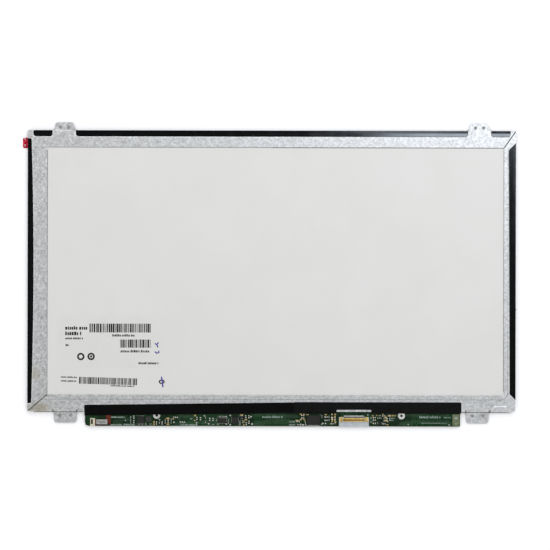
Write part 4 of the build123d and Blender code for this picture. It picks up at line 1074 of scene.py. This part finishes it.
endArt = dict(
    field=[(273.45, 4.7, 5.1, 8.4)],  # along, edge, length, width
    marks=[(273.6, 6.2, 2.0, 1.9), (273.4, 2.2, 1.1, 0.9)],
    height=0.02 * mm,
)
laminateLook = dict(
    dark=(84, 96, 66), light=(132, 140, 108), patch=420, grain=2600, rough=(0.4, 0.55), bump=0.006,
)
laminate = plainFinish("bareLaminate", laminateLook)
placeAll("bare_laminate", boardPlaces(endArt["field"]), "pad", endArt["height"], laminate, "board_green")
endMarks = boardPlaces(endArt["marks"], endArt["height"])
placeAll("laminate_marks", endMarks, "pad", endArt["height"], legendInk, "white_print")
print("board dressed")

# Connector: pressed rails of the shell, its end posts and the recess between them, its gold darkened as
# painted shade

shellLow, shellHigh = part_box("connector_shell")
connectorArt = dict(
    endBlock=3.2 * mm,  # the posts' share of the width at each end
    rails=[  # section across the shell: from its rear edge, and up or down from its rear flat
        (0.66, -0.40), (0.66, -0.10), (0.80, 0.05), (0.95, 0.08), (1.38, 0.08), (1.55, -0.02), (1.68, -0.24),
        (2.82, -0.28), (2.95, -0.12), (3.12, -0.06), (3.28, -0.14), (3.28, -0.46),
    ],
    # from the end, from the rear edge, diameter, rise
    posts=[(1.7, 0.75, 1.9, 0.06), (1.45, 2.35, 2.5, -0.02)],
    recess=(1.72, 2.80), recessDrop=0.27 * mm, recessHeight=0.03 * mm,
    fingers=27, fingerWidth=0.2 * mm, fingerHeight=0.05 * mm, fingerShare=0.8,
)


def extrudeAlong(name, outline, start, end, material, slotName, *replaced):  # outline: (y, z) points
    def build(shape):
        skinLoops(shape, [[shape.verts.new((x, y, z)) for y, z in outline] for x in (start, end)])
    piece = newShape(name, build)
    piece.data.materials.append(material)
    return settle(piece, slotName, *replaced)


shellGold = coats["goldShell"]
# painted shade: the recess's gold darkened to brown
shadedRecessLook = dict(finishSet["goldPlate"], dark=(92, 54, 12), light=(142, 94, 30))
shadedRecessGold = plainFinish("shadedRecessGold", shadedRecessLook)
railOutline = [(shellHigh.y - back * mm, shellHigh.z + rise * mm) for back, rise in connectorArt["rails"]]
innerLeft, innerRight = shellLow.x + connectorArt["endBlock"], shellHigh.x - connectorArt["endBlock"]
extrudeAlong(
    "connector_rails", railOutline, innerLeft, innerRight, shellGold, "gold_plate", "connector_shell",
)
postPlaces = []
for fromEnd, back, diameter, rise in connectorArt["posts"]:
    for x in (shellLow.x + fromEnd * mm, shellHigh.x - fromEnd * mm):
        tall = shellHigh.z + rise * mm - shellLow.z
        postPlaces.append((x, shellHigh.y - back * mm, shellLow.z, diameter * mm, diameter * mm, tall, 0))
placeAll("connector_posts", postPlaces, "post", 1.0, shellGold, "gold_plate")
recessRear, recessFront = [shellHigh.y - back * mm for back in connectorArt["recess"]]
recessLevel = shellHigh.z - connectorArt["recessDrop"]
recessMiddle, recessReach = (recessRear + recessFront) / 2, recessRear - recessFront
innerMiddle, innerWidth = (innerLeft + innerRight) / 2, innerRight - innerLeft
recessPlace = (innerMiddle, recessMiddle, recessLevel, innerWidth, recessReach, 1.0, 0)
recessHeight = connectorArt["recessHeight"]
placeAll("connector_recess", [recessPlace], "bar", recessHeight, shadedRecessGold, "gold_plate")
fingerStep = innerWidth / (connectorArt["fingers"] + 1)
fingerReach = recessReach * connectorArt["fingerShare"]
fingerLevel = recessLevel + recessHeight
fingerPlaces = [
    (
        innerLeft + (i + 1) * fingerStep, recessMiddle, fingerLevel, connectorArt["fingerWidth"],
        fingerReach, 1.0, 0,
    )
    for i in range(connectorArt["fingers"])
]
placeAll("connector_fingers", fingerPlaces, "bar", connectorArt["fingerHeight"], gold, "gold_plate")

contactLow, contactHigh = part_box("connector_contacts")
footArt = dict(count=30, width=0.36 * mm, length=0.85 * mm, height=0.09 * mm, inset=0.36 * mm, half=0.1 * mm)
footStart, footY = contactLow.x + footArt["half"], contactHigh.y - footArt["inset"]
footStep = (contactHigh.x - footArt["half"] - footStart) / (footArt["count"] - 1)
solderFeet = [
    (footStart + i * footStep, footY, boardTop, footArt["width"], footArt["length"], 1.0, 0)
    for i in range(footArt["count"])
]
placeAll("contact_solder", solderFeet, "pad", footArt["height"], tin, "tinned_copper")

slotLook = dict(dark=(26, 20, 24), light=(48, 38, 40), patch=600, grain=3000, rough=(0.5, 0.65), bump=0.003)
slotSet = dict(width=0.60 * mm, height=0.36 * mm, inward=0.34 * mm, past=0.3 * mm)
slotY = shellHigh.y - slotSet["inward"]
slotEnds = (contactLow.x - slotSet["past"], contactHigh.x + slotSet["past"])
slotLine = [(x, slotY, contactHigh.z) for x in slotEnds]
# a dark strip along the connector's slot, above its contacts
slotStrip = plainFinish("darkSlotStrip", slotLook)
drawLines("connector_slot", [slotLine], slotSet["width"], slotSet["height"], slotStrip, "connector_plastic")

# Backlight socket with its open middle in painted shade, the sticker on the flex foot, and a painted shadow
# strip below the sticker

socketLow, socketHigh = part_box("backlight_socket")
socketArt = dict(
    latch=1.5 * mm, latchLift=0.24 * mm, rearWall=0.8 * mm, frontWall=1.2 * mm, post=0.5 * mm,
    postHeight=0.4 * mm, floor=0.2 * mm,
)
socketCream = coats["socketPlastic"]


def blockPlace(xLow, xHigh, yLow, yHigh, zLow, zHigh):
    return ((xLow + xHigh) / 2, (yLow + yHigh) / 2, zLow, xHigh - xLow, yHigh - yLow, zHigh - zLow, 0)


latchX, postX = socketHigh.x - socketArt["latch"], socketLow.x + socketArt["post"]
rearY, frontY = socketHigh.y - socketArt["rearWall"], socketLow.y + socketArt["frontWall"]
socketWalls = [
    blockPlace(
        latchX, socketHigh.x, socketLow.y, socketHigh.y, boardTop + socketArt["latchLift"], socketHigh.z,
    ),
    blockPlace(socketLow.x, latchX, rearY, socketHigh.y, boardTop, socketHigh.z),
    blockPlace(socketLow.x, latchX, socketLow.y, frontY, boardTop, socketHigh.z),
    blockPlace(socketLow.x, postX, frontY, rearY, boardTop, boardTop + socketArt["postHeight"]),
]
placeAll("socket_walls", socketWalls, "pad", 1.0, socketCream, "socket_plastic", "backlight_socket")
# painted shade: a dark floor in the socket's open middle
shadedSocketFloorLook = dict(
    dark=(34, 36, 24), light=(66, 68, 48), patch=900, grain=3000, rough=(0.5, 0.65), bump=0.004,
)
shadedSocketFloor = blockPlace(postX, latchX, frontY, rearY, boardTop, boardTop + socketArt["floor"])
placeAll(
    "socket_floor", [shadedSocketFloor], "bar", 1.0, plainFinish("shadedSocketFloor", shadedSocketFloorLook),
    "socket_plastic",
)

stickerLow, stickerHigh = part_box("board_sticker")
stickerArt = dict(shift=1.35 * mm, grow=0.15 * mm, seed=31, rows=[(0.9, 0.7, 5.6, 0.8), (2.2, 1.7, 4.4, 0.9)])
footShadeSet = dict(width=0.85 * mm, gap=0.35 * mm, under=1.0 * mm, height=0.05 * mm)
stickerPaper = coats["stickerPaper"]
stickerLeft = stickerLow.x + stickerArt["shift"]
stickerBlock = blockPlace(
    stickerLeft, stickerHigh.x + stickerArt["shift"],
    stickerLow.y - stickerArt["grow"], stickerHigh.y + stickerArt["grow"], stickerLow.z, stickerHigh.z,
)
placeAll("sticker_paper", [stickerBlock], "bar", 1.0, stickerPaper, "white_sticker", "board_sticker")
chance = random.Random(stickerArt["seed"])
greyLook = dict(inkLook, dark=(70, 72, 70), light=(112, 114, 112))
stickerMarks = [mark for row in stickerArt["rows"] for mark in greekRow(*row, chance)]
stickerPlaces = [
    (stickerLeft + x * mm, stickerHigh.y - y * mm, stickerHigh.z, width * mm, height * mm, 1.0, 0)
    for x, y, width, height in stickerMarks
]
placeAll("sticker_marks", stickerPlaces, "bar", inkHeight, plainFinish("greyPrint", greyLook), "black_print")
tapeBlack = coats["blackTape"]
# painted shadow: a black strip below the sticker
footShadeTop = stickerLow.y - footShadeSet["gap"]
footShadeStrip = blockPlace(
    socketHigh.x - footShadeSet["under"], stickerHigh.x,
    footShadeTop - footShadeSet["width"], footShadeTop, boardTop, boardTop + footShadeSet["height"],
)
placeAll("foot_tape", [footShadeStrip], "bar", 1.0, tapeBlack, "black_tape")

# Seams: lap of the two tapes, painted shade in the mitre slits, painted shadow of the steel's edge round the
# window

windowSet = dict(left=-165.4 * mm, right=171.05 * mm, top=91.2 * mm, bottom=-91.2 * mm)
seamSet = dict(
    slit=0.66 * mm, slitHeight=0.10 * mm, shadowHeight=0.03 * mm, fine=0.30 * mm, wide=0.52 * mm,
    cornerRoom=2.6 * mm,
)
lapSet = dict(width=0.1 * mm, height=0.07 * mm, drop=0.08 * mm, top=0.3 * mm, bottom=0.1 * mm)
slitEnds = dict(right=(0.4 * mm, 0.55 * mm), left=(0.5 * mm, 0.43 * mm))  # short of the body's corners
bodyLow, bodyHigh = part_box("upper_left_frame")[0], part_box("lower_right_frame")[1]
bodyTop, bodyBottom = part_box("mould_frame")[1].y, -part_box("mould_frame")[1].y
# painted shadow of the steel's cut edge on the sheet round the window, wider along the top right
edgeShadowLook = dict(
    dark=(96, 97, 96), light=(132, 133, 132), patch=300, grain=3000, rough=(0.6, 0.8), bump=0.003,
    shader={"Specular IOR Level": 0.1},
)
slitLines = [
    [
        (windowSet["right"], windowSet["top"], sheetLevel),
        (bodyHigh.x - slitEnds["right"][0], bodyTop - slitEnds["right"][1], sheetLevel),
    ],
    [
        (windowSet["left"], windowSet["bottom"], sheetLevel),
        (bodyLow.x + slitEnds["left"][0], bodyBottom + slitEnds["left"][1], sheetLevel),
    ],
]
mouldBlack = coats["blackMould"]
drawLines("slit_shade", slitLines, seamSet["slit"], seamSet["slitHeight"], mouldBlack, "black_mould")
edgeShadowGrey = plainFinish("windowEdgeShadow", edgeShadowLook)


def edgeShadowLine(xStart, yStart, xEnd, yEnd):
    return [(xStart, yStart, sheetLevel), (xEnd, yEnd, sheetLevel)]


windowLeft, windowRight = windowSet["left"] + seamSet["fine"] / 2, windowSet["right"] - seamSet["fine"] / 2
fineTop, wideTop = windowSet["top"] - seamSet["fine"] / 2, windowSet["top"] - seamSet["wide"] / 2
cornerRoom = seamSet["cornerRoom"]
fineEdgeShadows = [
    edgeShadowLine(windowSet["left"] + cornerRoom, fineTop, 0, fineTop),
    edgeShadowLine(windowLeft, windowSet["bottom"], windowLeft, windowSet["top"] - cornerRoom),
    edgeShadowLine(windowRight, windowSet["bottom"] + cornerRoom, windowRight, windowSet["top"]),
]
wideEdgeShadows = [edgeShadowLine(0, wideTop, windowSet["right"] - seamSet["fine"], wideTop)]
drawLines("window_gap_fine", fineEdgeShadows, seamSet["fine"], seamSet["shadowHeight"], edgeShadowGrey, "rim_adhesive")
drawLines("window_gap_wide", wideEdgeShadows, seamSet["wide"], seamSet["shadowHeight"], edgeShadowGrey, "rim_adhesive")
seamX = (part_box("rear_tape_left")[1].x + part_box("rear_tape_right")[0].x) / 2
seamTop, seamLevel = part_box("rear_tape_right")[1].y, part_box("rear_tape_right")[1].z - lapSet["drop"]
lapLine = [(seamX, y, seamLevel) for y in (seamTop - lapSet["top"], bodyBottom + lapSet["bottom"])]
drawLines("tape_lap", [lapLine], lapSet["width"], lapSet["height"], tapeBlack, "black_tape")

# Painted shade along the foot of the raised band's shoulder, round the window's lower right corner

edgeShadeSet = dict(
    out=3.25 * mm, side=2.85 * mm, radius=5.2 * mm, steps=8, past=1.0 * mm, width=0.34 * mm,
    height=0.02 * mm, rim=0.95 * mm,
)
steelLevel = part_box("upper_left_frame")[1].z
shoulderY, shoulderX = windowSet["bottom"] - edgeShadeSet["out"], windowSet["right"] + edgeShadeSet["side"]
bend = edgeShadeSet["radius"]
shoulderShadeLine = [(windowSet["left"] - edgeShadeSet["past"], shoulderY, steelLevel)]
for i in range(edgeShadeSet["steps"] + 1):
    angle = math.radians(-90 + 90 * i / edgeShadeSet["steps"])
    across, up = bend * (math.cos(angle) - 1), bend * (math.sin(angle) + 1)
    shoulderShadeLine.append((shoulderX + across, shoulderY + up, steelLevel))
shoulderShadeLine.append((shoulderX, windowSet["top"] - edgeShadeSet["past"], steelLevel))
# painted shade: a grey strip on the steel at the shoulder's foot
shoulderShadeLook = dict(
    dark=(104, 106, 107), light=(132, 134, 136), patch=500, grain=2000, rough=(0.5, 0.65),
    bump=0.003, shader={"Metallic": 1.0},
)
shoulderShadeFinish = plainFinish("shoulderShadeSteel", shoulderShadeLook)
drawLines("band_crease", [shoulderShadeLine], edgeShadeSet["width"], edgeShadeSet["height"], shoulderShadeFinish, "galvanised_steel")

# Painted shade along the rim of the lower left slit

slitRimShadeLook = dict(dark=(80, 82, 72), light=(112, 114, 102), patch=300, grain=2000, rough=(0.6, 0.75), bump=0.003)
slitRimShadeLine = [(x, y, steelLevel) for x, y, z in slitLines[1]]
slitRimShade = plainFinish("slitRimShade", slitRimShadeLook)
drawLines("slit_rim", [slitRimShadeLine], edgeShadeSet["rim"], edgeShadeSet["height"], slitRimShade, "galvanised_steel")

# Painted shade: a dark brownish strip along the lower fold, beside the board

foldShadeSet = dict(
    width=0.62 * mm, height=0.06 * mm, out=0.28 * mm, level=1.42 * mm,
    spans=((-175.5 * mm, -139.0 * mm), (140.5 * mm, 175.5 * mm)),
)
foldShadeY = bodyBottom - foldShadeSet["out"]
foldShadeLines = [[(x, foldShadeY, foldShadeSet["level"]) for x in span] for span in foldShadeSet["spans"]]
foldShadeLook = dict(dark=(58, 54, 48), light=(92, 86, 76), patch=300, grain=1800, rough=(0.6, 0.75), bump=0.003)
foldShade = plainFinish("foldShade", foldShadeLook)
drawLines("fold_edge", foldShadeLines, foldShadeSet["width"], foldShadeSet["height"], foldShade, "galvanised_steel")

# Painted white highlights on the pull tab's crinkles

tabLow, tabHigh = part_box("film_pull_tab")
tabArt = dict(
    width=0.55 * mm, strokes=[[(1.5, 4.9), (1.9, 5.9), (1.6, 6.5)], [(1.2, 0.3), (1.7, 1.1), (2.3, 1.5)]],
)
tabStrokes = [
    [(tabLow.x + x * mm, tabHigh.y - y * mm, tabHigh.z) for x, y in line]
    for line in tabArt["strokes"]
]
# painted highlights: pale strokes on the crinkles
tabHighlightLook = dict(legendLook, dark=(240, 226, 222), light=(250, 240, 236))
drawLines(
    "tab_marks", tabStrokes, tabArt["width"], inkHeight, plainFinish("tabHighlight", tabHighlightLook), "white_print",
)
print("connector, socket, seams and tab finished")

for pattern in patterns.values():  # their copies stay
    bpy.data.objects.remove(pattern)
